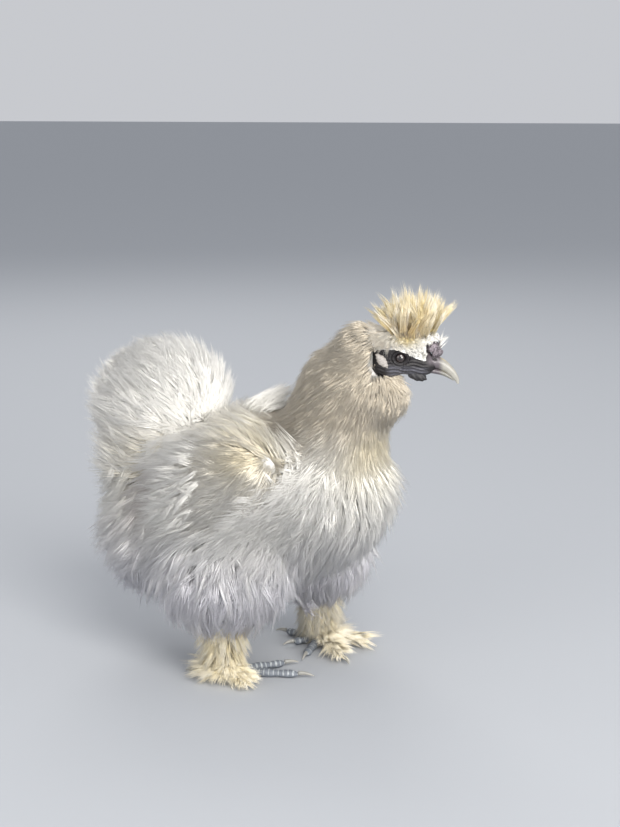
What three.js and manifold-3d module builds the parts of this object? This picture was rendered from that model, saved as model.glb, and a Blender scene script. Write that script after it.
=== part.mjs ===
// A white silkie chicken at life size, standing still: body forms, face, beak, feet and a coat of locks.
// Millimetres, +Z up, +X the way the trunk faces, +Y to the bird's left; the soles stand at Z = 0.
import * as THREE from "three";
import { mergeVertices } from "three/addons/utils/BufferGeometryUtils.js";
import Module from "manifold-3d";

const wasm = await Module();
wasm.setup();
const { Manifold, Mesh } = wasm;

// Driving dimensions.
const GAP = 0.3; // left between pieces that touch
const SOFTNESS = 16; // how far two body forms run into one another
const HEAD_SOFTNESS = 5; // the same for the forms of the head
const HEAD_AT = [108.5, -2, 274.5]; // the point between the eyes
const HEAD_YAW = 18; // degrees that the head turns to the bird's left
const EYE_RADIUS = 4.7;
const EYE_SIDE = 11.2; // from the head's middle to an eye's centre
const TOE_RADIUS = 4.3;
const SHANK_RADIUS = 14; // with the short feathers that lie close on it
const LOCK_THICKNESS = 1.7;
const FLOOR_GAP = 0.8; // from the floor to the lowest locks
const LOCK_SINK = 6; // how deep a lock's root lies
const SHORT_LOCK = { stations: [0, 0.45, 1], widths: [0.6, 1, 0] }; // shares of length and width
const LONG_LOCK = { stations: [0, 0.36, 0.72, 1], widths: [0.5, 1, 0.66, 0] };
const LEAST_DETAIL = 0.06; // corners closer than this to one another are merged
const FACE_DETAIL = 0.1; // the same for the pieces of the face
const LEAST_HEIGHT = 2.2; // of a lock's middle above the forms that it lies over
const BARE_PROBE = { from: 1, to: 26, radius: 9 }; // a place is bare where this reaches out through nothing
const FILLER_TRIES = 420; // places where a form is looked at for bare skin

const FACE_COLOUR = 0x35313a;
const COMB_COLOUR = 0x4a434c;
const LOBE_COLOUR = 0xa9b0ad;
const HORN_COLOUR = 0xc9c6b8;
const EYE_COLOUR = 0x120c0a;
const WHITE_COLOUR = 0xe6e3da;
const HACKLE_COLOUR = 0xd9d0bd;
const CREST_COLOUR = 0xe7d39a;
const FOOT_FEATHER_COLOUR = 0xe0d2a6;
const TOE_COLOUR = 0x6f7378;

const UP = new THREE.Vector3(0, 0, 1);
const vec = (x, y, z) => new THREE.Vector3(x, y, z);
const lerp = THREE.MathUtils.lerp;
const radians = THREE.MathUtils.degToRad;

// A seeded source of random numbers from 0 to 1.
function randomSource(seed) {
  let state = seed;
  return () => {
    state = (state + 0x6d2b79f5) | 0;
    let t = Math.imul(state ^ (state >>> 15), 1 | state);
    t = (t + Math.imul(t ^ (t >>> 7), 61 | t)) ^ t;
    return ((t ^ (t >>> 14)) >>> 0) / 4294967296;
  };
}

// The head's own frame: x forward along the bill, y to its left, z up.
const headFrame = new THREE.Matrix4()
  .makeRotationZ(radians(HEAD_YAW))
  .setPosition(...HEAD_AT);
const onHead = (x, y, z) => vec(x, y, z).applyMatrix4(headFrame);

// Turns a closed geometry into a solid.
function solidOf(geometry) {
  const bare = geometry.clone();
  bare.deleteAttribute("normal");
  bare.deleteAttribute("uv");
  const merged = mergeVertices(bare, 1e-4);
  return new Manifold(
    new Mesh({
      numProp: 3,
      vertProperties: merged.attributes.position.array,
      triVerts: new Uint32Array(merged.index.array),
    }),
  );
}

// Draws corners that coincide a little into their own sides, so that folds which touch stay apart.
function partCorners(geometry) {
  const { position, normal } = geometry.attributes;
  const corners = new Map();
  for (let i = 0; i < position.count; i += 1) {
    const key = [position.getX(i), position.getY(i), position.getZ(i)].join(" ");
    corners.set(key, [...(corners.get(key) ?? []), i]);
  }
  for (const i of [...corners.values()].filter((same) => same.length > 1).flat()) {
    const point = vec().fromBufferAttribute(position, i);
    point.addScaledVector(vec().fromBufferAttribute(normal, i), -LEAST_DETAIL / 2);
    position.setXYZ(i, point.x, point.y, point.z);
  }
}

// Turns a solid back into a geometry.
function geometryOf(solid) {
  const mesh = solid.getMesh();
  const geometry = new THREE.BufferGeometry();
  geometry.setAttribute("position", new THREE.BufferAttribute(mesh.vertProperties, 3));
  geometry.setIndex(new THREE.BufferAttribute(mesh.triVerts, 1));
  geometry.computeVertexNormals();
  partCorners(geometry);
  return geometry;
}

// Joins solids and keeps the largest closed surface of what results.
function fuse(solids) {
  const bodies = Manifold.union(solids).decompose();
  return bodies.reduce((best, body) => (body.volume() > best.volume() ? body : best));
}

// Cuts solids away from one, and keeps the largest closed surface.
function cut(solid, ...tools) {
  return fuse([tools.reduce((left, tool) => left.subtract(tool), solid)]);
}

// A solid skin over rings of points, closed by a fan to a point at each end.
function loft(rings, startPoint, endPoint) {
  const sides = rings[0].length;
  const points = [startPoint, ...rings.flat(), endPoint];
  const faces = [];
  for (let side = 0; side < sides; side += 1) {
    const next = (side + 1) % sides;
    faces.push(0, 1 + next, 1 + side);
    for (let ring = 0; ring + 1 < rings.length; ring += 1) {
      const low = 1 + ring * sides;
      const high = low + sides;
      faces.push(low + side, low + next, high + next, low + side, high + next, high + side);
    }
    const last = 1 + (rings.length - 1) * sides;
    faces.push(last + side, last + next, points.length - 1);
  }
  const geometry = new THREE.BufferGeometry().setFromPoints(points);
  geometry.setIndex(faces);
  return solidOf(geometry);
}

// Rings of an elliptic tube along a path; each station is { at, wide, high } and may flatten at the floor.
function tubeRings(stations, sides, floor = -Infinity) {
  return stations.map((station, index) => {
    const before = stations[Math.max(index - 1, 0)].at;
    const after = stations[Math.min(index + 1, stations.length - 1)].at;
    const along = after.clone().sub(before).normalize();
    const upright = Math.abs(along.z) > 0.9 ? vec(-1, 0, 0) : UP;
    const left = upright.clone().cross(along).normalize();
    const top = along.clone().cross(left);
    return Array.from({ length: sides }, (_, side) => {
      const angle = (2 * Math.PI * (side + 0.5)) / sides;
      const point = station.at
        .clone()
        .addScaledVector(left, -Math.cos(angle) * station.wide)
        .addScaledVector(top, Math.sin(angle) * station.high);
      point.z = Math.max(point.z, floor);
      return point;
    }).reverse();
  });
}

function tube(stations, sides, floor) {
  const rings = tubeRings(stations, sides, floor);
  const middle = (ring) =>
    ring.reduce((sum, point) => sum.add(point), vec(0, 0, 0)).divideScalar(ring.length);
  return loft(rings, middle(rings[0]), middle(rings[rings.length - 1]));
}

// An ellipsoid of the body, as a distance: negative inside.
class Blob {
  constructor(at, radii, pitch = 0, yaw = 0) {
    this.at = at;
    this.radii = vec(...radii);
    this.turn = new THREE.Quaternion()
      .setFromEuler(new THREE.Euler(0, radians(pitch), radians(yaw), "ZYX"))
      .invert();
  }

  distance(point) {
    const local = point.clone().sub(this.at).applyQuaternion(this.turn).divide(this.radii);
    const near = local.length();
    if (near < 1e-6) return -this.radii.x;
    const steep = local.divide(this.radii).length();
    return (near * (near - 1)) / steep;
  }
}

// A body form made of blobs that run into one another, seen whole from its centre.
class Form {
  constructor(centre, blobs, softness = SOFTNESS) {
    this.centre = centre;
    this.blobs = blobs;
    this.softness = softness;
  }

  distance(point) {
    return this.blobs
      .map((blob) => blob.distance(point))
      .reduce((a, b) => {
        const share = Math.max(this.softness - Math.abs(a - b), 0) / this.softness;
        return Math.min(a, b) - (share * share * this.softness) / 4;
      });
  }

  // Where the ray from the centre meets the surface, or the surface a little outside it.
  surface(direction, level = 0) {
    const at = (reach) => this.centre.clone().addScaledVector(direction, reach);
    let far = 0;
    while (this.distance(at(far)) < level) far += 2;
    let near = Math.max(far - 2, 0);
    for (let step = 0; step < 22; step += 1) {
      const middle = (near + far) / 2;
      if (this.distance(at(middle)) < level) near = middle;
      else far = middle;
    }
    return at(near);
  }

  solid(detail, level = 0) {
    const ball = new THREE.IcosahedronGeometry(1, detail);
    ball.deleteAttribute("normal");
    ball.deleteAttribute("uv");
    const merged = mergeVertices(ball, 1e-4);
    const position = merged.attributes.position;
    for (let i = 0; i < position.count; i += 1) {
      const direction = vec().fromBufferAttribute(position, i).normalize();
      const point = this.surface(direction, level);
      position.setXYZ(i, point.x, point.y, point.z);
    }
    return solidOf(merged);
  }
}

// The trunk: chest, barrel and the deep fluff behind the legs.
const torsoForm = new Form(vec(-15, 0, 145), [
  new Blob(vec(-18, 0, 148), [98, 68, 64], -4),
  new Blob(vec(45, 0, 162), [49, 58, 52]),
  new Blob(vec(-90, 0, 116), [53, 55, 50]),
]);

// The neck with its hackle, up to the hood behind the face.
const neckForm = new Form(vec(70, -1, 246), [
  new Blob(vec(56, 0, 214), [36, 42, 38]),
  new Blob(vec(67, -1, 246), [36, 33, 36]),
  new Blob(onHead(-10, 0, -34), [17, 15, 16]),
  new Blob(onHead(-31, 0, 7), [16, 15, 19], 0, HEAD_YAW),
]);

// The round cushion of the tail.
const tailForm = new Form(vec(-95, 0, 205), [
  new Blob(vec(-98, 0, 222), [46, 45, 43]),
  new Blob(vec(-98, 0, 172), [43, 43, 44]),
]);

const skullBlobs = [
  new Blob(onHead(-2, 0, 3), [25, 14.5, 17], 0, HEAD_YAW),
  new Blob(onHead(11, 0, -5), [19, 10.5, 11], 12, HEAD_YAW),
  new Blob(onHead(-11, 0, -7), [13, 12.5, 12], 0, HEAD_YAW),
];
const skullForm = new Form(onHead(0, 0, 2), skullBlobs, HEAD_SOFTNESS);

const sides = [
  { name: "right", sign: -1 },
  { name: "left", sign: 1 },
];

// Each leg: the thigh's fluff, the shank under it and the ball of the foot.
const legs = {
  right: {
    thigh: new Form(vec(-25, -44, 98), [
      new Blob(vec(-28, -45, 99), [51, 34, 42]),
      new Blob(vec(-34, -44, 76), [45, 28, 30]),
    ]),
    hock: vec(-30, -43, 70),
    ball: vec(-28, -42, 9),
    toes: [
      { digit: "2", heading: 41, length: 52, bare: true },
      { digit: "3", heading: 13, length: 61, bare: true },
      { digit: "4", heading: -38, length: 34, bare: false },
      { digit: "1", heading: 192, length: 25, bare: true },
      { digit: "5", heading: 150, length: 26, bare: true, raised: 9 },
    ],
    outward: -1,
    fan: [-128, -106, -84, -62],
  },
  left: {
    thigh: new Form(vec(16, 46, 98), [
      new Blob(vec(16, 46, 98), [46, 33, 42]),
      new Blob(vec(24, 50, 80), [32, 26, 28]),
    ]),
    hock: vec(18, 56, 66),
    ball: vec(18, 62, 9),
    toes: [
      { digit: "2", heading: -86, length: 44, bare: true },
      { digit: "3", heading: -49, length: 56, bare: false },
      { digit: "4", heading: -2, length: 42, bare: false },
      { digit: "1", heading: 227, length: 26, bare: true },
      { digit: "5", heading: 172, length: 34, bare: true },
    ],
    outward: 1,
    fan: [24, 50, 78, 106, 134],
  },
};

const wingForms = Object.fromEntries(
  sides.map(({ name, sign }) => [
    name,
    new Form(vec(-18, sign * 68, 172), [
      new Blob(vec(-18, sign * 68, 172), [57, 10, 31], -24, sign * 4),
    ]),
  ]),
);

const bodyForms = [
  torsoForm,
  neckForm,
  tailForm,
  legs.right.thigh,
  legs.left.thigh,
  wingForms.right,
  wingForms.left,
];

// Distance to the nearest form of the body, and the way out of it.
const bodyDistance = (point) => Math.min(...bodyForms.map((form) => form.distance(point)));

function wayOut(point, distance) {
  const step = 0.5;
  const slope = (dx, dy, dz) =>
    distance(point.clone().add(vec(dx, dy, dz))) - distance(point.clone().sub(vec(dx, dy, dz)));
  return vec(slope(step, 0, 0), slope(0, step, 0), slope(0, 0, step)).normalize();
}

// A flat, tapered lock that starts under the surface and bends along the body, rising towards its tip.
// shape: length, width, thickness, rise (of the tip), cling (1 follows the body, 0 runs straight on),
// droop (pull towards the floor), roll (degrees that one edge lifts over the next lock).
function lock(root, lie, shape, over = bodyDistance, grown = 0) {
  const { length, width, thickness = LOCK_THICKNESS, rise, cling = 1, droop = 0, roll = 8 } = shape;
  const { stations, widths } = shape.long ? LONG_LOCK : SHORT_LOCK;
  const floor = shape.floor ?? 1.5;
  const out = wayOut(root, over);
  const sunk = root.clone().addScaledVector(out, -(shape.sink ?? LOCK_SINK));
  const line = [sunk];
  const normals = [out];
  const heading = lie.clone().addScaledVector(out, shape.stand ?? 0).normalize();
  let point = root.clone();
  for (let k = 1; k < stations.length; k += 1) {
    const away = wayOut(point, over);
    const tangent = heading.clone().addScaledVector(away, -heading.dot(away) * cling);
    tangent.addScaledVector(UP, -droop * stations[k]).normalize();
    point = point.clone().addScaledVector(tangent, (stations[k] - stations[k - 1]) * length);
    const normal = wayOut(point, over);
    const height = lerp(LEAST_HEIGHT, rise, stations[k]);
    const error = height - over(point);
    point.addScaledVector(normal, error > 0 ? error : error * cling);
    point.z = Math.max(point.z, floor + thickness * 0.5);
    line.push(point);
    normals.push(normal);
  }
  const rings = [];
  for (let k = 0; k + 1 < stations.length; k += 1) {
    const along = line[k + 1].clone().sub(line[Math.max(k - 1, 0)]).normalize();
    const side = along.clone().cross(shape.facing ?? normals[k]).normalize();
    side.applyAxisAngle(along, radians(roll));
    const top = side.clone().cross(along);
    const half = (width * widths[k]) / 2 + grown;
    const thick = (thickness * lerp(1, 0.75, stations[k])) / 2 + grown;
    const ring = [
      line[k].clone().addScaledVector(side, half),
      line[k].clone().addScaledVector(top, -thick),
      line[k].clone().addScaledVector(side, -half),
      line[k].clone().addScaledVector(top, thick),
    ];
    ring.forEach((corner, place) => {
      corner.z = Math.max(corner.z, FLOOR_GAP + (place === 3 ? thickness : 0));
    });
    rings.push(ring);
  }
  const along = line.at(-1).clone().sub(line.at(-2)).normalize();
  const tip = line.at(-1).clone().addScaledVector(along, grown);
  return loft(rings, sunk.clone().addScaledVector(out, -1), tip);
}

// Whether a solid stays clear of all the others.
function isClear(solid, others) {
  const own = solid.boundingBox();
  return others.every((other) => {
    const box = other.boundingBox();
    const apart = [0, 1, 2].some((i) => own.max[i] < box.min[i] || own.min[i] > box.max[i]);
    return apart || solid.intersect(other).isEmpty();
  });
}

// A lock that swings, bends further out or stays shorter until it clears its neighbours, and if it can
// the node's own locks too; null if there's no room for it.
function clearLock(root, lie, shape, others, own, over = bodyDistance) {
  const out = wayOut(root, over);
  let spare = null;
  for (const part of [1, 0.8, 0.6]) {
    for (const lift of [0, 3, 6]) {
      for (const swing of [0, 0.2, -0.2]) {
        const tried = {
          ...shape,
          length: shape.length * part,
          rise: shape.rise * part + lift,
          stand: (shape.stand ?? 0) + lift * 0.03,
        };
        const way = lie.clone().applyAxisAngle(out, swing);
        if (!isClear(lock(root, way, tried, over, GAP), others)) continue;
        const grown = lock(root, way, tried, over);
        if (isClear(grown, own)) return grown;
        spare ??= grown;
      }
    }
  }
  return spare;
}

// Rows of locks round a pole, each lying away from it. shape may vary with the row's share of the way.
function coat(form, plan, others) {
  const random = randomSource(plan.seed);
  const pole = plan.pole.clone().normalize();
  const across = pole.clone().cross(vec(0, 1, 0)).normalize();
  const aside = pole.clone().cross(across);
  const towards = (polar, round) =>
    pole
      .clone()
      .multiplyScalar(Math.cos(polar))
      .addScaledVector(across, Math.sin(polar) * Math.cos(round))
      .addScaledVector(aside, Math.sin(polar) * Math.sin(round));
  const locks = [];
  for (let row = 0; row < plan.rows; row += 1) {
    const share = row / Math.max(plan.rows - 1, 1);
    const polar = radians(lerp(plan.from, plan.to, share));
    const shape = { ...plan.shape, ...plan.vary?.(share) };
    const reach = form.surface(towards(polar, 0)).distanceTo(form.centre) / 2
      + form.surface(towards(polar, Math.PI)).distanceTo(form.centre) / 2;
    const spacing = plan.spacing * (shape.closer ?? 1);
    const count = Math.max(3, Math.round((2 * Math.PI * reach * Math.sin(polar)) / spacing));
    for (let place = 0; place < count; place += 1) {
      const round = (2 * Math.PI * (place + (row % 2) / 2 + (random() - 0.5) * 0.25)) / count;
      const tilt = polar + (random() - 0.5) * 0.06;
      const root = form.surface(towards(tilt, round));
      const lie = form.surface(towards(tilt + 0.08, round)).sub(root).normalize();
      const size = 0.9 + random() * 0.2;
      const swing = (random() - 0.5) * 0.3;
      const out = wayOut(root, bodyDistance);
      lie.add(plan.bias ?? vec(0, 0, 0)).normalize().applyAxisAngle(out, swing);
      const covers = [...bodyForms, skullForm].filter((other) => other !== form);
      const hidden = covers.some((other) => other.distance(root) < 1);
      if (hidden || (plan.where && !plan.where(root))) continue;
      const width = shape.width * (0.94 + random() * 0.12);
      const varied = { ...shape, length: shape.length * size, width };
      const grown = clearLock(root, lie, varied, others, locks);
      if (grown) locks.push(grown);
    }
  }
  return locks;
}

// Whether nothing stands over a place on a form, as far out as its coat reaches.
function isBare(root, out, solids) {
  const stations = [BARE_PROBE.from, BARE_PROBE.to].map((height) => ({
    at: root.clone().addScaledVector(out, height),
    wide: BARE_PROBE.radius,
    high: BARE_PROBE.radius,
  }));
  return isClear(tube(stations, 4, 0), solids);
}

// Shorter locks that grow where the rows of a coat leave its form bare.
function fillers(form, plan, others, rows) {
  const random = randomSource(plan.seed + 100);
  const pole = plan.pole.clone().normalize();
  const shape = { ...plan.shape, ...plan.vary?.(0.5), ...plan.filler };
  const locks = [...rows];
  const turn = Math.PI * (3 - Math.sqrt(5));
  for (let place = 0; place < FILLER_TRIES; place += 1) {
    const level = 1 - (2 * (place + 0.5)) / FILLER_TRIES;
    const around = Math.sqrt(1 - level * level);
    const way = vec(around * Math.cos(turn * place), around * Math.sin(turn * place), level);
    const root = form.surface(way);
    const out = wayOut(root, bodyDistance);
    const covers = [...bodyForms, skullForm].filter((other) => other !== form);
    const hidden = covers.some((other) => other.distance(root) < 2);
    if (hidden || !isBare(root, out, [...others, ...locks])) continue;
    const lie = out.clone().multiplyScalar(out.dot(pole)).sub(pole).add(plan.bias ?? vec(0, 0, 0));
    lie.addScaledVector(out, -lie.dot(out)).normalize();
    const varied = { ...shape, length: shape.length * (0.9 + random() * 0.2) };
    const grown = clearLock(root, lie, varied, others, locks);
    if (grown) locks.push(grown);
  }
  return locks;
}

// Plain bodies of all nodes, each cut back from those that it grows from.
const torsoCore = torsoForm.solid(3);
const torsoGrown = torsoForm.solid(3, GAP);
const neckCore = cut(neckForm.solid(3), torsoGrown);
const neckGrown = neckForm.solid(3, GAP);
const tailCore = cut(tailForm.solid(2), torsoGrown);
const tailGrown = tailForm.solid(2, GAP);
const wingCores = {};
const thighCores = {};
for (const { name } of sides) {
  wingCores[name] = cut(wingForms[name].solid(2), torsoGrown, neckGrown, tailGrown);
  const wingGrown = wingForms[name].solid(2, GAP);
  thighCores[name] = cut(legs[name].thigh.solid(2), torsoGrown, wingGrown);
}

// The face: skull, lids round the eyes, the corner of the mouth and the ear's hollow.
function skull() {
  const parts = [skullForm.solid(3)];
  for (const { sign } of sides) {
    const lid = new THREE.TorusGeometry(EYE_RADIUS + 0.5, 1.2, 4, 10);
    lid.rotateX(Math.PI / 2);
    lid.scale(1.12, 1, 0.92);
    lid.rotateZ(radians(-sign * 8));
    lid.translate(0, sign * (EYE_SIDE + 2.6), 0);
    parts.push(solidOf(lid.applyMatrix4(headFrame)));
  }
  const socketLevel = EYE_RADIUS + 1.4 * GAP;
  const tools = sides.map(({ sign }) => {
    const socket = new THREE.IcosahedronGeometry(socketLevel, 1);
    socket.translate(0, sign * EYE_SIDE, 0);
    return solidOf(socket.applyMatrix4(headFrame));
  });
  for (const { sign } of sides) {
    const groove = new THREE.SphereGeometry(1, 6, 4);
    groove.scale(9, 3, 0.7);
    groove.rotateY(radians(20));
    groove.translate(21, sign * 9, -10.5);
    tools.push(solidOf(groove.applyMatrix4(headFrame)));
  }
  return cut(fuse(parts), ...tools, neckGrown);
}

// One half of the bill, from its root in the face to its tip. Stations are on the head's own frame.
function bill(stations, sideCount) {
  const placed = stations.map(([x, z, wide, high]) => ({ at: vec(x, 0, z), wide, high }));
  return tube(placed, sideCount).transform(headFrame.elements);
}

const headCore = skull();
const headGrown = skullForm.solid(3, GAP);

function upperBill() {
  const whole = bill(
    [
      [20, -3.5, 6.6, 5.2],
      [28, -5, 5.6, 5.2],
      [35, -8.2, 4.2, 4.4],
      [41, -13, 2.7, 3.2],
      [45.2, -18.6, 1.3, 2],
      [46.7, -22.6, 0.4, 0.6],
    ],
    8,
  );
  const nostrils = sides.map(({ sign }) => {
    const hole = new THREE.SphereGeometry(1, 8, 6);
    hole.scale(1.7, 1.3, 0.9);
    hole.rotateY(radians(25));
    hole.translate(28.6, sign * 5.3, -2.6);
    return solidOf(hole.applyMatrix4(headFrame));
  });
  return cut(whole, headGrown, ...nostrils);
}

function lowerBill(upper) {
  const whole = bill(
    [
      [18, -11.5, 5.2, 2.6],
      [28, -13.2, 4.2, 2.6],
      [36, -16, 2.8, 2.2],
      [42, -19.6, 1.4, 1.3],
      [44, -21.4, 0.5, 0.5],
    ],
    8,
  );
  const [dx, , dz] = [0.4, 0, -0.45];
  const lowered = upper.translate([dx * GAP, 0, dz * 1.6 * GAP]);
  return cut(whole, headGrown, upper, lowered);
}

const upper = upperBill();
const lower = lowerBill(upper);

// The cushion comb: close lumps on the root of the bill, each { x, y, z, radius } on the head's frame.
const COMB_LUMPS = [
  [24, 0, 11, 5.4],
  [29, 0, 6.5, 4.6],
  [27, 4, 9, 3.6],
  [27, -4, 9, 3.6],
  [31, 0, 3.2, 3.6],
];

function combLumps(growth = 0) {
  const random = randomSource(5);
  const lumps = COMB_LUMPS.map(([x, y, z, radius]) => {
    const lump = new THREE.IcosahedronGeometry(radius * (0.94 + random() * 0.12) + growth, 1);
    lump.rotateX(random() * 6);
    lump.translate(x, y, z);
    return solidOf(lump.applyMatrix4(headFrame));
  });
  return fuse(lumps);
}

// The comb with the few short feathers that stand at its front.
function comb() {
  const upperGrown = upper.translate([0, 0, GAP]).add(upper.translate([GAP, 0, 0]));
  const tuft = [-16, 14].map((spread) => {
    const way = onHead(0.5, radians(spread), 0.75).sub(onHead(0, 0, 0)).normalize();
    const facing = vec(1, 0, 0);
    const shape = { length: 13, width: 4.5, thickness: 1.2, rise: 3, cling: 0, sink: 2, facing };
    const over = (point) => point.distanceTo(onHead(29, 0, 6.5)) - 4.6;
    return lock(onHead(31.5, radians(spread) * 4, 9), way, shape, over);
  });
  return cut(fuse([combLumps(), ...tuft]), headGrown, upper, upperGrown);
}

function sideLump(sign, [x, y, z], [rx, ry, rz], tilt, others) {
  const lump = new THREE.IcosahedronGeometry(1, 1);
  lump.scale(rx, ry, rz);
  lump.rotateY(radians(tilt));
  lump.translate(x, sign * y, z);
  return cut(solidOf(lump.applyMatrix4(headFrame)), ...others);
}

function eye(sign) {
  const ball = new THREE.IcosahedronGeometry(EYE_RADIUS, 2);
  ball.translate(0, sign * EYE_SIDE, 0);
  return solidOf(ball.applyMatrix4(headFrame));
}

// The crest's plain root, a low cap on the crown.
const crestBlobs = [
  new Blob(onHead(3, 0, 17), [27, 15.5, 11], 0, HEAD_YAW),
  new Blob(onHead(8, 0, 25), [15, 11, 9], 0, HEAD_YAW),
];
const crestForm = new Form(onHead(5, 0, 22), crestBlobs, HEAD_SOFTNESS);
const crestCore = cut(crestForm.solid(2), headGrown, neckGrown, combLumps(GAP));

// A foot: the ball under the shank and five toes, each flat where it stands.
function toeLine(ball, toe) {
  const heading = radians(toe.heading);
  const ahead = vec(Math.cos(heading), Math.sin(heading), 0);
  const raised = toe.raised ?? 0;
  const rest = TOE_RADIUS * 0.82;
  return (share) => {
    const climb = Math.max(0, (share - 0.2) / 0.8);
    const height = lerp(ball.z - 1.5, rest, Math.min(1, share / 0.22)) + raised * climb * climb;
    const at = ball.clone().addScaledVector(ahead, share * toe.length);
    at.z = height + (raised ? raised * 0.35 : 0);
    return at;
  };
}

function toe(ball, plan) {
  const line = toeLine(ball, plan);
  const scutes = plan.bare ? Math.round(plan.length / 11) : 1;
  const stations = [{ at: line(0), wide: TOE_RADIUS, high: TOE_RADIUS }];
  for (let scute = 0; scute < scutes; scute += 1) {
    for (const [within, swell] of [[0.3, 1.08], [0.98, 0.9]]) {
      const share = lerp(0.2, 1, (scute + within) / scutes);
      const radius = TOE_RADIUS * lerp(1, 0.66, share) * (plan.bare ? swell : 1);
      stations.push({ at: line(share), wide: radius, high: radius });
    }
  }
  stations.push({ at: line(1), wide: TOE_RADIUS * 0.5, high: TOE_RADIUS * 0.5 });
  return tube(stations, 5, 0);
}

function claw(ball, plan) {
  const line = toeLine(ball, plan);
  const start = line(1);
  const along = start.clone().sub(line(0.9)).normalize();
  const reach = 8 + plan.length * 0.08;
  const base = TOE_RADIUS * 0.46;
  const at = (share, drop) =>
    start
      .clone()
      .addScaledVector(along, GAP + share * reach)
      .add(vec(0, 0, 0.9 - drop * (start.z - 0.6)));
  const stations = [
    { at: at(0, 0), wide: base, high: base },
    { at: at(0.5, -0.15), wide: base * 0.75, high: base * 0.85 },
    { at: at(1, 0.5), wide: 0.3, high: 0.3 },
  ];
  return tube(stations, 5, 0.35);
}

const FOOT_TOP = 12; // where the shank stands on the ball of the foot

function footCore({ ball, toes }) {
  const pad = tube(
    [
      { at: vec(ball.x, ball.y, 0), wide: 6.5, high: 6.5 },
      { at: vec(ball.x, ball.y, 4), wide: 8, high: 8 },
      { at: vec(ball.x, ball.y, FOOT_TOP), wide: 6.2, high: 6.2 },
    ],
    8,
    0,
  );
  return fuse([pad, ...toes.map((plan) => toe(ball, plan))]);
}

function shankCore(leg, thighGrown, foot) {
  const start = vec(leg.ball.x, leg.ball.y, FOOT_TOP + GAP);
  const at = (share) => start.clone().lerp(leg.hock, share);
  const whole = tube(
    [
      { at: start, wide: SHANK_RADIUS * 0.6, high: SHANK_RADIUS * 0.6 },
      { at: vec(start.x, start.y, start.z + 4), wide: SHANK_RADIUS * 0.8, high: SHANK_RADIUS * 0.8 },
      { at: at(0.4), wide: SHANK_RADIUS, high: SHANK_RADIUS },
      { at: at(1), wide: SHANK_RADIUS, high: SHANK_RADIUS },
    ],
    8,
  );
  return cut(whole, thighGrown, foot, foot.translate([0, 0, GAP]));
}

// Builds one node's mesh.
function node(name, solid, colour, roughness = 0.9) {
  const material = new THREE.MeshStandardMaterial({ color: colour, roughness, metalness: 0 });
  const mesh = new THREE.Mesh(geometryOf(solid), material);
  mesh.name = name;
  return mesh;
}

// The coats, from the outermost layer inwards, each kept clear of all that is there.
const eyes = Object.fromEntries(sides.map(({ name, sign }) => [name, eye(sign)]));
const lobes = Object.fromEntries(
  sides.map(({ name, sign }) => [
    name,
    sideLump(sign, [-13, 14, -4], [4.2, 2.6, 6.2], -20, [headGrown, headCore, neckGrown]),
  ]),
);
const combSolid = comb();
const wattles = Object.fromEntries(
  sides.map(({ name, sign }) => [
    name,
    sideLump(sign, [13, 5.6, -17], [6.5, 2.2, 4.6], 14, [headGrown, lower, neckGrown]),
  ]),
);

const taken = [torsoCore, neckCore, tailCore, headCore, upper, lower, combSolid, crestCore];
taken.push(...Object.values(wingCores), ...Object.values(thighCores));
taken.push(...Object.values(eyes), ...Object.values(lobes), ...Object.values(wattles));
const without = (core) => taken.filter((solid) => solid !== core);

function dressed(core, locks) {
  taken.push(...locks);
  return fuse([core, ...locks]).simplify(LEAST_DETAIL);
}

// The crest: a brow of short locks on the cap, and taller ones that stand and fan out of its top.
function crestLocks() {
  const random = randomSource(31);
  const rows = [
    { count: 3, tilt: 12, length: 28, lift: 0.4, cling: 0 },
    { count: 7, tilt: 40, length: 31, lift: 0.6, cling: 0 },
    { count: 8, tilt: 82, length: 30, lift: 1.5, cling: 0.2 },
  ];
  const over = (point) => crestForm.distance(point);
  return rows.flatMap(({ count, tilt, length, lift, cling }, row) =>
    Array.from({ length: count }, (_, place) => {
      const round = (2 * Math.PI * (place + row / 2)) / count + (random() - 0.5) * 0.3;
      const lean = radians(tilt);
      const facing = vec(Math.cos(round), Math.sin(round), 0).applyAxisAngle(UP, radians(HEAD_YAW));
      const way = vec(Math.sin(lean) * Math.cos(round), Math.sin(lean) * Math.sin(round), Math.cos(lean));
      way.applyAxisAngle(UP, radians(HEAD_YAW));
      const root = crestForm.surface(way);
      const shape = {
        length: length * (0.85 + random() * 0.25),
        width: 14,
        rise: 3,
        cling,
        sink: 4,
        facing,
      };
      return clearLock(root, way.addScaledVector(UP, lift), shape, without(crestCore), [], over);
    }).filter(Boolean),
  );
}

// Two rings of feathers round a shank, the lower one spreading over the foot.
function shankLocks(leg, core) {
  const random = randomSource(leg.outward > 0 ? 71 : 72);
  const start = vec(leg.ball.x, leg.ball.y, FOOT_TOP);
  const rows = [
    { share: 0.72, count: 8, length: 36, flare: 0.6 },
    { share: 0.25, count: 8, length: 30, flare: 1.2 },
  ];
  const locks = [];
  rows.forEach(({ share, count, length, flare }, row) => {
    const middle = start.clone().lerp(leg.hock, share);
    const over = (point) => Math.hypot(point.x - middle.x, point.y - middle.y) - SHANK_RADIUS;
    for (let place = 0; place < count; place += 1) {
      const round = (2 * Math.PI * (place + row / 2)) / count + (random() - 0.5) * 0.3;
      const out = vec(Math.cos(round), Math.sin(round), 0);
      const root = middle.clone().addScaledVector(out, SHANK_RADIUS - 1);
      const lie = vec(out.x * flare, out.y * flare + leg.outward * 0.2, -0.8).normalize();
      const shape = { length: length * (0.9 + random() * 0.2), width: 17, rise: 12, cling: 0 };
      const grown = clearLock(root, lie, shape, without(core), locks, over);
      if (grown) locks.push(grown);
    }
  });
  return locks;
}

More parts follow.
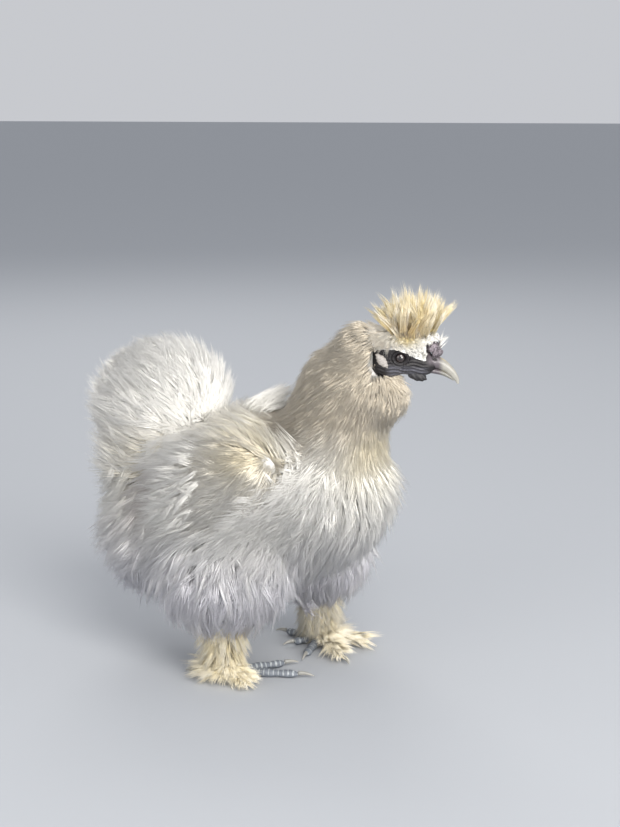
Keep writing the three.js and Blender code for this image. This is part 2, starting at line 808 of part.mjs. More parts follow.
// Feathers on a foot: a fan from the ball's outer side, and pairs along the toes that are feathered.
function footLocks(leg, core) {
  const random = randomSource(leg.outward > 0 ? 81 : 82);
  const over = (point) => point.z - TOE_RADIUS;
  const locks = [];
  const add = (root, way, length, width) => {
    const lie = vec(Math.cos(way), Math.sin(way), -0.04).normalize();
    const shape = { length, width, rise: 2, cling: 0.7, sink: 3.5 };
    const grown = clearLock(root, lie, shape, without(core), locks, over);
    if (grown) locks.push(grown);
  };
  for (const degrees of leg.fan) {
    const way = radians(degrees + (random() - 0.5) * 8);
    const root = leg.ball.clone().add(vec(Math.cos(way) * 4, Math.sin(way) * 4, 1.5));
    add(root, way, 38 + random() * 5, 15);
  }
  for (const plan of leg.toes.filter(({ bare }) => !bare)) {
    const line = toeLine(leg.ball, plan);
    for (const side of [-20, 20]) {
      const root = line(0.45);
      root.z += TOE_RADIUS * 0.8;
      add(root, radians(plan.heading + side), 25, 12);
    }
  }
  return locks;
}

// The tuft that stands on the saddle, between tail and neck.
function saddleLocks() {
  const shape = { length: 44, width: 20, rise: 24, cling: 0.2, stand: 0.6, long: true };
  const lie = vec(0.9, 0, 0.2);
  return [-24, -4, 16].map((side) => {
    const root = torsoForm.surface(vec(-16, side, 62).normalize());
    return clearLock(root, lie, shape, without(torsoCore), []);
  }).filter(Boolean);
}

const FORWARD_UP = vec(0.75, 0, 0.66);
const plans = {
  neck: {
    seed: 12,
    pole: FORWARD_UP,
    from: 38,
    to: 128,
    rows: 6,
    spacing: 42,
    shape: { width: 34, cling: 0.85, long: true },
    vary: (share) => ({ length: lerp(36, 66, share), rise: lerp(6, 13, share) }),
  },
  wing: {
    seed: 21,
    pole: vec(0.9, 0, 0.42),
    from: 16,
    to: 132,
    rows: 4,
    spacing: 35,
    bias: vec(-0.5, 0, -0.2),
    shape: { width: 31, rise: 8 },
    vary: (share) => ({ length: lerp(40, 58, share), cling: lerp(0.95, 0.5, share) }),
  },
  torso: {
    filler: { length: 44, rise: 12, width: 34 },
    seed: 41,
    pole: FORWARD_UP,
    from: 22,
    to: 172,
    rows: 9,
    spacing: 40,
    bias: vec(-0.15, 0, -0.25),
    shape: { width: 37, cling: 0.8, stand: 0.25, long: true },
    vary: (share) => ({
      closer: lerp(1, 0.85, share),
      length: lerp(56, 64, share),
      rise: lerp(15, 22, share),
    }),
  },
  tail: {
    seed: 51,
    pole: vec(0.55, 0, -0.8),
    from: 56,
    to: 170,
    rows: 5,
    spacing: 40,
    shape: { length: 58, width: 36, rise: 23, cling: 0.55, stand: 0.5, long: true },
  },
  thigh: {
    seed: 61,
    pole: vec(0.1, 0, 1),
    from: 34,
    to: 126,
    rows: 4,
    spacing: 37,
    shape: { length: 52, width: 32, rise: 14, cling: 0.6, droop: 0.25, floor: 32, long: true },
  },
};

const solids = {};
solids.crest = dressed(crestCore, crestLocks());
solids.neck = dressed(neckCore, coat(neckForm, plans.neck, without(neckCore)));
for (const { name, sign } of sides) {
  const plan = { ...plans.wing, where: (point) => (point.y - wingForms[name].centre.y) * sign > -2 };
  solids["wing_" + name] = dressed(
    wingCores[name],
    coat(wingForms[name], plan, without(wingCores[name])),
  );
}
const saddle = saddleLocks();
const trunkOthers = [...without(torsoCore), ...saddle];
const trunk = fillers(torsoForm, plans.torso, trunkOthers, coat(torsoForm, plans.torso, trunkOthers));
solids.torso = dressed(torsoCore, [...saddle, ...trunk]);
solids.tail = dressed(tailCore, coat(tailForm, plans.tail, without(tailCore)));
for (const { name } of sides) {
  const leg = legs[name];
  const thighGrown = leg.thigh.solid(2, GAP);
  const foot = footCore(leg);
  const shank = shankCore(leg, thighGrown, foot);
  taken.push(shank, foot);
  solids["thigh_" + name] = dressed(
    thighCores[name],
    coat(leg.thigh, plans.thigh, without(thighCores[name])),
  );
  for (const plan of leg.toes) {
    const nail = claw(leg.ball, plan);
    solids[`claw_${name}_${plan.digit}`] = nail;
    taken.push(nail);
  }
  solids["shank_" + name] = dressed(shank, shankLocks(leg, shank));
  solids["foot_" + name] = dressed(foot, footLocks(leg, foot));
}

const chicken = new THREE.Group();
const colours = {
  crest: CREST_COLOUR,
  neck: HACKLE_COLOUR,
  shank_right: FOOT_FEATHER_COLOUR,
  shank_left: FOOT_FEATHER_COLOUR,
  foot_right: FOOT_FEATHER_COLOUR,
  foot_left: FOOT_FEATHER_COLOUR,
};
for (const [name, solid] of Object.entries(solids)) {
  const plain = name.startsWith("claw") ? HORN_COLOUR : WHITE_COLOUR;
  chicken.add(node(name, solid, colours[name] ?? plain));
}
const clean = (solid) => solid.asOriginal().simplify(FACE_DETAIL);
chicken.add(node("head", clean(headCore), FACE_COLOUR, 0.6));
chicken.add(node("bill_upper", clean(upper), HORN_COLOUR, 0.4));
chicken.add(node("bill_lower", clean(lower), HORN_COLOUR, 0.4));
chicken.add(node("comb", clean(combSolid), COMB_COLOUR, 0.6));
for (const { name } of sides) {
  chicken.add(node("eye_" + name, eyes[name], EYE_COLOUR, 0.1));
  chicken.add(node("earlobe_" + name, clean(lobes[name]), LOBE_COLOUR, 0.6));
  chicken.add(node("wattle_" + name, clean(wattles[name]), COMB_COLOUR, 0.6));
}

// The part's origin is under the middle of its box, on the floor.
const box = new THREE.Box3().setFromObject(chicken);
const middle = box.getCenter(vec());
chicken.position.set(-middle.x, -middle.y, 0);

export default chicken;
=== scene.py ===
"""Looks of a standing white silkie chicken: one skin, a dark face, feet, and a long silky coat in tufts.

Sizes are millimetres in the bird's own frame (+X ahead, +Y to its left, +Z up) until a mesh is placed.
"""
import logging
import math
from dataclasses import dataclass
from enum import Enum
from typing import Callable

import bmesh
import bpy
import numpy as np
from mathutils import Matrix, Vector, noise


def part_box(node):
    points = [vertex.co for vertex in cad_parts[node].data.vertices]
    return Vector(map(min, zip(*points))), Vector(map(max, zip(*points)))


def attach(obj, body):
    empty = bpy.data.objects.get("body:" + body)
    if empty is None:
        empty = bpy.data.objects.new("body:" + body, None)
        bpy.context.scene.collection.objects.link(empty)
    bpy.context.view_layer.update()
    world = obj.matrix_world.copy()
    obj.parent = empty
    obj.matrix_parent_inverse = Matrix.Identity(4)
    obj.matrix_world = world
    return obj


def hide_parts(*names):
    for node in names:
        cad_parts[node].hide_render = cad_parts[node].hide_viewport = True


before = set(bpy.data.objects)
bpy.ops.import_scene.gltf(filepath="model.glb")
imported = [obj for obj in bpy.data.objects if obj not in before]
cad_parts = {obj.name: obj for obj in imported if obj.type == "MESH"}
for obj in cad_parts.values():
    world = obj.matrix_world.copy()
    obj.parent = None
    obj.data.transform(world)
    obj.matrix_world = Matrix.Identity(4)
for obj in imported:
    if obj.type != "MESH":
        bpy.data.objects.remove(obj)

LOG = logging.getLogger("silkie")

MM = 0.001
HEAD_AT = np.array([108.5, -2.0, 274.5])
HEAD_YAW = 18.0
EYE_SIDE = 11.2
EYE_RADIUS = 4.7
SKIN_DEPTH = 6.0
NECK_DEPTH = 3.5
PIECE_TRIANGLES = 150_000
ROOT_POOL = 90_000
PATCH = 0.003
UNWRAP_EDGE = 0.01
STEPS = (0.25, 0.5, 0.75, 1.0)
UP = np.array([0.0, 0.0, 1.0])
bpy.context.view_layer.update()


def yaw_matrix(degrees: float) -> np.ndarray:
    """Turn about the upright axis."""
    c, s = math.cos(math.radians(degrees)), math.sin(math.radians(degrees))
    return np.array([[c, -s, 0.0], [s, c, 0.0], [0.0, 0.0, 1.0]])


def pitch_matrix(degrees: float) -> np.ndarray:
    """Turn about the axis to the bird's left."""
    c, s = math.cos(math.radians(degrees)), math.sin(math.radians(degrees))
    return np.array([[c, 0.0, s], [0.0, 1.0, 0.0], [-s, 0.0, c]])


HEAD_TURN = yaw_matrix(HEAD_YAW)


def on_head(points: np.ndarray) -> np.ndarray:
    """Points of the head's own frame, put into the bird's frame."""
    return np.asarray(points, float) @ HEAD_TURN.T + HEAD_AT


def in_head(points: np.ndarray) -> np.ndarray:
    """Points of the bird's frame, as the head's own frame sees them."""
    return (np.asarray(points, float) - HEAD_AT) @ HEAD_TURN


def find_shift() -> np.ndarray:
    """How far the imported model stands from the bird's own frame, from the right eye's centre."""
    low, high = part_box("eye_right")
    centre = (np.array(low) + np.array(high)) / 2 / MM
    return centre - on_head([0.0, -EYE_SIDE, 0.0])


SHIFT = find_shift()


def unit(vectors: np.ndarray) -> np.ndarray:
    """Vectors scaled to length one along their last axis."""
    return vectors / np.maximum(np.linalg.norm(vectors, axis=-1, keepdims=True), 1e-9)


def mix(low: np.ndarray, high: np.ndarray, share: np.ndarray | float) -> np.ndarray:
    """Blend from low to high by a share that is kept from 0 to 1."""
    share = np.clip(share, 0.0, 1.0)
    return low * (1 - share) + high * share


def along_skin(ways: np.ndarray, out: np.ndarray, share: float = 1.0) -> np.ndarray:
    """Ways bent by a share, from 0 to 1, to lie along a skin whose ways out are given."""
    return unit(ways - out * np.sum(ways * out, axis=1, keepdims=True) * share)


def swung(ways: np.ndarray, out: np.ndarray, turn: np.ndarray) -> np.ndarray:
    """Ways turned about the ways out, each by its own angle."""
    return ways * np.cos(turn) + np.cross(out, ways) * np.sin(turn)


def level_way(angle: float) -> np.ndarray:
    """The level way at an angle, in radians, from straight ahead to the left."""
    return np.array([math.cos(angle), math.sin(angle), 0.0])


def bell(values: np.ndarray, middle: float, width: float) -> np.ndarray:
    """A smooth hump of height one over its middle."""
    return np.exp(-(((values - middle) / width) ** 2))


def share_round(aside: np.ndarray, ahead: np.ndarray) -> np.ndarray:
    """Angles round an axis as shares from 0 to 1."""
    return np.arctan2(aside, ahead) / (2 * math.pi) + 0.5


def unwrapped(around: np.ndarray, along: np.ndarray) -> np.ndarray:
    """Shares round and along a form as places on its unwrap, just inside the edge."""
    return np.stack([around, along], axis=1) * (1 - 2 * UNWRAP_EDGE) + UNWRAP_EDGE


def globe_unwrap(radial: np.ndarray) -> np.ndarray:
    """Ways out of a form's middle as places on its round unwrap."""
    return unwrapped(share_round(radial[:, 1], radial[:, 0]), radial[:, 2] / 2 + 0.5)


def linear(red: int, green: int, blue: int) -> np.ndarray:
    """A display colour as the linear values that shaders use."""
    c = np.array([red, green, blue]) / 255.0
    return np.where(c <= 0.04045, c / 12.92, ((c + 0.055) / 1.055) ** 2.4)


WHITE = linear(243, 242, 238)
CREAM = linear(240, 228, 192)
BUFF = linear(216, 200, 154)
# painted shade: the shaded tone of the coat on the rump behind the wings
SEAT_PAINTED_SHADE = linear(186, 174, 170)
HACKLE = linear(214, 204, 186)
# painted reflection: a lilac cast, a little shaded, that the coat takes on low down
PAINTED_LILAC_REFLECTION = linear(228, 227, 236)
YELLOW = linear(217, 197, 134)
AMBER = linear(198, 158, 94)
FOOT_CREAM = linear(233, 220, 180)
FOOT_BUFF = linear(205, 184, 134)
FACE_DARK = linear(20, 16, 19)
FACE_GREY = linear(82, 82, 90)
COMB_GREY = linear(108, 100, 106)
LOBE_GREY = linear(160, 155, 150)
HORN_PALE = linear(152, 150, 142)
HORN_GREY = linear(150, 150, 146)
TOE_SLATE = linear(92, 98, 108)
TOE_PALE = linear(176, 182, 184)
IRIS_BROWN = linear(34, 20, 18)
PUPIL_BLACK = linear(5, 4, 5)


@dataclass(frozen=True)
class Blob:
    """An ellipsoid of flesh."""

    at: tuple[float, float, float]
    radii: tuple[float, float, float]
    pitch: float = 0.0
    yaw: float = 0.0

    def turn(self) -> np.ndarray:
        """The blob's own turn."""
        return yaw_matrix(self.yaw) @ pitch_matrix(self.pitch)

    def distance(self, points: np.ndarray) -> np.ndarray:
        """Distance outside the blob, less than nothing inside.

        Args:
            points: places to measure, one a row.

        Returns:
            One distance for each place.
        """
        radii = np.array(self.radii)
        local = (points - np.array(self.at)) @ self.turn() / radii
        near = np.linalg.norm(local, axis=1)
        steep = np.linalg.norm(local / radii, axis=1)
        return near * (near - 1) / np.maximum(steep, 1e-9)


@dataclass(frozen=True)
class Flesh:
    """Blobs that run into one another."""

    blobs: tuple[Blob, ...]
    softness: float = 16.0

    def distance(self, points: np.ndarray) -> np.ndarray:
        """Distance outside the flesh.

        Args:
            points: places to measure, one a row.

        Returns:
            One distance for each place.
        """
        result = self.blobs[0].distance(points)
        for blob in self.blobs[1:]:
            other = blob.distance(points)
            share = np.clip(self.softness - np.abs(result - other), 0, None) / self.softness
            result = np.minimum(result, other) - share**2 * self.softness / 4
        return result

    def outward(self, points: np.ndarray) -> np.ndarray:
        """The way straight out of the flesh.

        Args:
            points: places to measure, one a row.

        Returns:
            One direction of length one for each place.
        """
        step = 0.5
        slopes = [
            self.distance(points + step * axis) - self.distance(points - step * axis)
            for axis in np.eye(3)
        ]
        return unit(np.stack(slopes, axis=1))


def head_blob(at: tuple[float, float, float], radii: tuple[float, float, float], pitch: float = 0.0) -> Blob:
    """A blob whose place is given in the head's own frame."""
    return Blob(tuple(on_head(at)), radii, pitch, HEAD_YAW)


class Region(Enum):
    """The forms that the coat grows on."""

    TORSO = "torso"
    NECK = "neck"
    TAIL = "tail"
    WING_RIGHT = "wing_right"
    WING_LEFT = "wing_left"
    THIGH_RIGHT = "thigh_right"
    THIGH_LEFT = "thigh_left"


FORMS = {
    Region.TORSO: Flesh(
        (
            Blob((-18, 0, 148), (98, 68, 64), -4),
            Blob((45, 0, 162), (49, 58, 52)),
            Blob((-90, 0, 116), (53, 55, 50)),
        )
    ),
    Region.NECK: Flesh(
        (
            Blob((56, 0, 214), (36, 42, 38)),
            Blob((67, -1, 246), (36, 33, 36)),
            head_blob((-10, 0, -34), (17, 15, 16)),
            head_blob((-31, 0, 7), (16, 15, 19)),
        )
    ),
    Region.TAIL: Flesh((Blob((-98, 0, 222), (46, 45, 43)), Blob((-98, 0, 172), (43, 43, 44)))),
    Region.WING_RIGHT: Flesh((Blob((-18, -60, 172), (54, 17, 31), -24, -4),)),
    Region.WING_LEFT: Flesh((Blob((-18, 60, 172), (54, 17, 31), -24, 4),)),
    Region.THIGH_RIGHT: Flesh((Blob((-28, -45, 99), (51, 34, 42)), Blob((-34, -44, 76), (45, 28, 30)))),
    Region.THIGH_LEFT: Flesh((Blob((16, 46, 98), (46, 33, 42)), Blob((24, 50, 80), (32, 26, 28)))),
}
BODY = Flesh(tuple(blob for form in FORMS.values() for blob in form.blobs))
SKULL = Flesh(
    (
        head_blob((-2, 0, 3), (25, 14.5, 17)),
        head_blob((11, 0, -5), (19, 10.5, 11), 12),
        head_blob((-11, 0, -7), (13, 12.5, 12)),
        head_blob((7, 0, 14), (23, 12.5, 11)),
    ),
    5.0,
)
HOOD = Flesh(SKULL.blobs + FORMS[Region.NECK].blobs, 9.0)


def nearest_region(points: np.ndarray) -> np.ndarray:
    """Which form each point belongs to, as its place in FORMS."""
    return np.argmin(np.stack([form.distance(points) for form in FORMS.values()]), axis=0)


class Finish:
    """A procedural material that reads a mesh's own tint and adds fine variation."""

    def __init__(
        self,
        name: str,
        roughness: float,
        grain: float,
        grain_size: float,
        bump: float = 0.0,
        sheen: float = 0.0,
        coat: float = 0.0,
    ) -> None:
        """Make the material.

        Args:
            name: the material's name.
            roughness: the surface's roughness.
            grain: how far the colour varies, as a share.
            grain_size: how many specks there are to a metre.
            bump: height of the fine relief, in millimetres.
            sheen: weight of the soft sheen at glancing angles.
            coat: weight of a wet, clear coat.
        """
        self.material = bpy.data.materials.new(name)
        self.material.use_nodes = True
        tree = self.material.node_tree
        shader = tree.nodes["Principled BSDF"]
        shader.inputs["Roughness"].default_value = roughness
        shader.inputs["Sheen Weight"].default_value = sheen
        shader.inputs["Coat Weight"].default_value = coat
        shader.inputs["Coat Roughness"].default_value = 0.06
        tint = tree.nodes.new("ShaderNodeAttribute")
        tint.attribute_name = "tint"
        where = tree.nodes.new("ShaderNodeTexCoord")
        specks = tree.nodes.new("ShaderNodeTexNoise")
        specks.inputs["Scale"].default_value = grain_size
        specks.inputs["Detail"].default_value = 3.0
        tree.links.new(where.outputs["Object"], specks.inputs["Vector"])
        levels = tree.nodes.new("ShaderNodeMapRange")
        levels.inputs["From Min"].default_value = 0.3
        levels.inputs["From Max"].default_value = 0.7
        levels.inputs["To Min"].default_value = 1 - grain
        levels.inputs["To Max"].default_value = 1 + grain * 0.5
        tree.links.new(specks.outputs["Fac"], levels.inputs["Value"])
        scale = tree.nodes.new("ShaderNodeVectorMath")
        scale.operation = "SCALE"
        tree.links.new(tint.outputs["Color"], scale.inputs[0])
        tree.links.new(levels.outputs["Result"], scale.inputs["Scale"])
        tree.links.new(scale.outputs["Vector"], shader.inputs["Base Color"])
        if bump:
            relief = tree.nodes.new("ShaderNodeBump")
            relief.inputs["Distance"].default_value = bump * MM
            relief.inputs["Strength"].default_value = 1.0
            tree.links.new(specks.outputs["Fac"], relief.inputs["Height"])
            tree.links.new(relief.outputs["Normal"], shader.inputs["Normal"])


def placed(points: np.ndarray) -> np.ndarray:
    """Millimetres in the bird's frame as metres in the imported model's frame."""
    return (np.asarray(points, float) + SHIFT) * MM


def set_tint(mesh: bpy.types.Mesh, colours: np.ndarray) -> None:
    """Store one colour a vertex as the mesh's tint.

    Args:
        mesh: the mesh to colour.
        colours: linear red, green and blue, one row a vertex.
    """
    layer = mesh.attributes.new("tint", "FLOAT_COLOR", "POINT")
    full = np.ones((len(colours), 4), np.float32)
    full[:, :3] = colours
    layer.data.foreach_set("color", full.ravel())


def coordinates(mesh: bpy.types.Mesh) -> np.ndarray:
    """A mesh's vertices, one a row."""
    flat = np.empty(len(mesh.vertices) * 3)
    mesh.vertices.foreach_get("co", flat)
    return flat.reshape(-1, 3)


def move_vertices(mesh: bpy.types.Mesh, points: np.ndarray) -> None:
    """Put a mesh's vertices at these places."""
    mesh.vertices.foreach_set("co", np.asarray(points, float).ravel())
    mesh.update()


def mesh_from(bm: bmesh.types.BMesh, name: str) -> bpy.types.Mesh:
    """Turn a bmesh into a smooth mesh with outward faces, and free it.

    Args:
        bm: the finished bmesh.
        name: the mesh's name.

    Returns:
        The new mesh.
    """
    bmesh.ops.recalc_face_normals(bm, faces=bm.faces)
    mesh = bpy.data.meshes.new(name)
    bm.to_mesh(mesh)
    bm.free()
    mesh.shade_smooth()
    return mesh


def sweep(
    shape: Callable[[np.ndarray, np.ndarray], np.ndarray],
    sides: int,
    stations: int,
    name: str = "sweep",
) -> bpy.types.Mesh:
    """Roll a grid into a closed, tapered tube whose ends run to a point.

    Args:
        shape: gives the places for shares of the length and angles round it.
        sides: faces round the tube.
        stations: faces along it.
        name: the mesh's name.

    Returns:
        The new mesh, in millimetres.
    """
    bm = bmesh.new()
    bmesh.ops.create_grid(bm, x_segments=sides, y_segments=stations, size=1.0)
    flat = np.array([vert.co for vert in bm.verts])
    share = (flat[:, 1] + 1) / 2
    angle = (flat[:, 0] + 1) * math.pi
    for vert, point in zip(bm.verts, shape(share, angle)):
        vert.co = point
    bmesh.ops.remove_doubles(bm, verts=bm.verts, dist=0.004)
    return mesh_from(bm, name)


def ball_mesh(detail: int, name: str) -> bpy.types.Mesh:
    """A ball of radius one, whose faces are divided so many times."""
    bm = bmesh.new()
    bmesh.ops.create_icosphere(bm, subdivisions=detail, radius=1.0)
    return mesh_from(bm, name)


def remeshed(bm: bmesh.types.BMesh, voxel: float, smooth: int, name: str) -> bpy.types.Mesh:
    """Fuse overlapping closed shells into one even surface.

    Args:
        bm: the shells, in millimetres.
        voxel: edge of the cells that the surface is drawn from.
        smooth: how many times the surface is relaxed.
        name: the mesh's name.

    Returns:
        The new mesh, in millimetres.
    """
    raw = mesh_from(bm, name)
    holder = bpy.data.objects.new(name, raw)
    bpy.context.scene.collection.objects.link(holder)
    modifier = holder.modifiers.new("fuse", "REMESH")
    modifier.mode = "VOXEL"
    modifier.voxel_size = voxel
    graph = bpy.context.evaluated_depsgraph_get()
    fused = bpy.data.meshes.new_from_object(holder.evaluated_get(graph))
    bpy.data.objects.remove(holder)
    work = bmesh.new()
    work.from_mesh(fused)
    for _ in range(smooth):
        bmesh.ops.smooth_vert(
            work, verts=work.verts, factor=0.5, use_axis_x=True, use_axis_y=True, use_axis_z=True
        )
    return mesh_from(work, name)


def add_ball(bm: bmesh.types.BMesh, blob: Blob, inset: float = 0.0, detail: int = 4) -> None:
    """Add one ellipsoid to a bmesh.

    Args:
        bm: the bmesh to add to.
        blob: the ellipsoid.
        inset: how much smaller it is made all round.
        detail: how often its faces are divided.
    """
    turn = Matrix(blob.turn().tolist()).to_4x4()
    size = Matrix.Diagonal([radius - inset for radius in blob.radii] + [1.0])
    bmesh.ops.create_icosphere(
        bm, subdivisions=detail, radius=1.0, matrix=Matrix.Translation(blob.at) @ turn @ size
    )


def joined(meshes: list[bpy.types.Mesh], name: str) -> bpy.types.Mesh:
    """Put several meshes into one, each keeping its material index and tint."""
    bm = bmesh.new()
    for mesh in meshes:
        bm.from_mesh(mesh)
    whole = bpy.data.meshes.new(name)
    bm.to_mesh(whole)
    bm.free()
    return whole


def add_piece(
    mesh: bpy.types.Mesh,
    name: str,
    finishes: list[Finish],
    slot: str,
    nodes: list[str],
) -> None:
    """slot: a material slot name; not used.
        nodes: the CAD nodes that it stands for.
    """
    piece = bpy.data.objects.new(name, mesh)
    bpy.context.scene.collection.objects.link(piece)
    for finish in finishes:
        mesh.materials.append(finish.material)
    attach(piece, "root")
    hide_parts(*nodes)
    LOG.info("%s: %d vertices, %d faces", name, len(mesh.vertices), len(mesh.polygons))


@dataclass(frozen=True)
class Spot:
    """A soft spot of colour as it is seen from the bird's side."""

    x: float
    z: float
    wide: float
    high: float

    def share(self, points: np.ndarray) -> np.ndarray:
        """How strong the spot is at each place, one a row from 0 to 1."""
        across, up = points[:, 0] - self.x, points[:, 2] - self.z
        return np.exp(-((across / self.wide) ** 2) - (up / self.high) ** 2)[:, None]


BREAST_SPOT = Spot(102, 194, 28, 26)
TAIL_BASE_SPOT = Spot(-88, 176, 30, 20)
SHOULDER_SPOT = Spot(2, 196, 34, 18)
BACK_SPOT = Spot(-10, 212, 34, 16)
# where the painted shade on the rump lies
SEAT_SHADE_SPOT = Spot(-98, 148, 26, 24)
CROWN_SPOT = Spot(8, 17, 10, 7)
CREST_SPOT = Spot(7, 14, 12, 10)


def coat_tone(points: np.ndarray, region: Region | None) -> np.ndarray:
    """Colour of the coat at a place: white, with cream and buff, a painted lilac reflection low down and
    painted shade on the rump.

    Args:
        points: places in the bird's frame.
        region: the form that the coat grows on.

    Returns:
        Linear colours, one row a place.
    """
    up = points[:, 2:3]
    # painted reflection with a little painted shade: the coat turns lilac below 130 mm
    colour = mix(WHITE, PAINTED_LILAC_REFLECTION, (130 - up) / 70)
    colour = mix(colour, CREAM, BREAST_SPOT.share(points))
    if region is Region.NECK:
        colour = mix(colour, HACKLE, (up - 188) / 26)
    if region is Region.TAIL:
        colour = mix(colour, BUFF, TAIL_BASE_SPOT.share(points) * 0.8)
    if region in (Region.WING_RIGHT, Region.WING_LEFT):
        colour = mix(mix(colour, HACKLE, 0.25), BUFF, SHOULDER_SPOT.share(points) * 0.7)
    if region is Region.TORSO:
        colour = mix(colour, CREAM, BACK_SPOT.share(points) * 0.8)
        # painted shade on the rump, behind and below the wings
        colour = mix(colour, SEAT_PAINTED_SHADE, SEAT_SHADE_SPOT.share(points) * 0.8)
    return colour


@dataclass
class Strands:
    """Turns guide lines into tufts of fine closed strands, joined in one mesh."""

    per_tuft: int = 14
    width: float = 0.9
    root_spread: float = 4.0
    tip_spread: float = 2.6
    stations: tuple[float, ...] = (0.0, 0.45, 1.0)
    widths: tuple[float, ...] = (1.0,)
    wave: float = 1.2
    floor: float = 0.5
    reach: tuple[float, float] = (0.72, 1.06)
    girth: tuple[float, float] = (0.7, 1.3)
    bright: tuple[float, float] = (0.9, 1.05)
    flatness: float = 0.6
    root_shade: float = 0.12

    def triangles(self) -> int:
        """How many triangles one tuft takes."""
        return self.per_tuft * 6 * len(self.widths)

    def build(
        self,
        guides: np.ndarray,
        normals: np.ndarray,
        tones: np.ndarray,
        tips: np.ndarray,
        unwrap: np.ndarray,
        rng: np.random.Generator,
        name: str,
    ) -> bpy.types.Mesh:
        """Make the mesh.

        Args:
            guides: points along each tuft's middle, tufts by stations by 3.
            normals: the way out of the body at each of these.
            tones: colour at each tuft's root.
            tips: colour at each tuft's tip.
            unwrap: each root's place on the skin's own unwrap.
            rng: the seeded source of random numbers.
            name: the mesh's name.

        Returns:
            The mesh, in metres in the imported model's frame.
        """
        tufts, many = len(guides), self.per_tuft
        reach = rng.uniform(*self.reach, (tufts, many))
        line = self.along(guides, reach)
        out = self.along(normals, reach)
        ahead = unit(np.gradient(line, axis=2))
        side = unit(np.cross(ahead, out))
        lift = np.cross(side, ahead)
        shares = np.array(self.stations)[None, None, :]
        angle = rng.uniform(0, 2 * math.pi, (tufts, many, 1))
        radius = np.sqrt(rng.uniform(0, 1, (tufts, many, 1)))
        spread = self.root_spread * (1 - shares) + self.tip_spread * shares
        sway = self.wave * np.sin(shares * math.pi + rng.uniform(0, 6.3, (tufts, many, 1))) * shares
        across = np.cos(angle) * radius * spread + sway
        above = np.sin(angle) * radius * spread * self.flatness + sway * 0.5
        line = line + side * across[..., None] + lift * above[..., None]
        thick = self.width * rng.uniform(*self.girth, (tufts, many, 1))
        corners = [line[:, :, :1]]
        for place, share in enumerate(self.widths, start=1):
            here = slice(place, place + 1)
            half = (thick * share / 2)[..., None]
            for turn in (math.pi / 2, math.pi * 7 / 6, math.pi * 11 / 6):
                way = math.cos(turn) * side[:, :, here] + math.sin(turn) * 0.8 * lift[:, :, here]
                corners.append(line[:, :, here] + half * way)
        points = np.concatenate([*corners, line[:, :, -1:]], axis=2)
        points[..., 2] = np.maximum(points[..., 2], self.floor)
        return self.joined_mesh(points, tones, tips, unwrap, rng, name)

    def along(self, knots: np.ndarray, reach: np.ndarray) -> np.ndarray:
        """Values along each guide at the strand's own stations, by straight steps between knots."""
        last = knots.shape[1] - 1
        share = np.array(self.stations)[None, None, :] * reach[..., None] * last
        low = np.clip(share.astype(int), 0, last - 1)
        part = (share - low)[..., None]
        rows = np.arange(knots.shape[0])[:, None, None]
        return knots[rows, low] * (1 - part) + knots[rows, low + 1] * part

    def joined_mesh(
        self,
        points: np.ndarray,
        tones: np.ndarray,
        tips: np.ndarray,
        unwrap: np.ndarray,
        rng: np.random.Generator,
        name: str,
    ) -> bpy.types.Mesh:
        """Join all strands as one mesh with tint and unwrap.

        Args:
            points: tufts by strands by corners by 3.
            tones: colour at each tuft's root.
            tips: colour at each tuft's tip.
            unwrap: each root's place on the skin's own unwrap.
            rng: the seeded source of random numbers.
            name: the mesh's name.

        Returns:
            The mesh.
        """
        tufts, many, corners = points.shape[:3]
        rings = len(self.widths)
        faces = []
        for k in range(3):
            a, b = 1 + k, 1 + (k + 1) % 3
            faces.append((0, b, a))
            for ring in range(rings - 1):
                low, high = ring * 3, ring * 3 + 3
                faces += [(a + low, b + low, b + high), (a + low, b + high, a + high)]
            last = (rings - 1) * 3
            faces.append((a + last, b + last, corners - 1))
        pattern = np.array(faces)
        starts = np.arange(tufts * many)[:, None, None] * corners
        triangles = (pattern[None] + starts).reshape(-1, 3)
        heights = np.concatenate([[0.0], np.repeat(self.stations[1:-1], 3), [1.0]])
        share = heights[None, None, :, None]
        bright = rng.uniform(*self.bright, (tufts, many, 1, 1))
        tint = (tones[:, None, None] * (1 - share) + tips[:, None, None] * share) * bright
        tint = tint * (1 - self.root_shade + self.root_shade * np.minimum(share * 2, 1))
        mesh = bpy.data.meshes.new(name)
        mesh.vertices.add(tufts * many * corners)
        mesh.vertices.foreach_set("co", placed(points.reshape(-1, 3)).ravel())
        mesh.loops.add(len(triangles) * 3)
        mesh.loops.foreach_set("vertex_index", triangles.astype(np.int32).ravel())
        mesh.polygons.add(len(triangles))
        mesh.polygons.foreach_set("loop_start", np.arange(0, len(triangles) * 3, 3, dtype=np.int32))
        mesh.update(calc_edges=True)
        mesh.shade_smooth()
        set_tint(mesh, tint.reshape(-1, 3))
        around = np.concatenate([[0.5], np.tile([0.0, 0.5, 1.0], rings), [0.5]])
        local = np.stack([around, heights], axis=1) - 0.5
        place = unwrap[:, None, None, :] + local[None, None] * PATCH
        place = np.broadcast_to(place, (tufts, many, corners, 2)).reshape(-1, 2)
        layer = mesh.uv_layers.new(name="OFBake")
        layer.data.foreach_set("uv", place[triangles.ravel()].astype(np.float32).ravel())
        return mesh


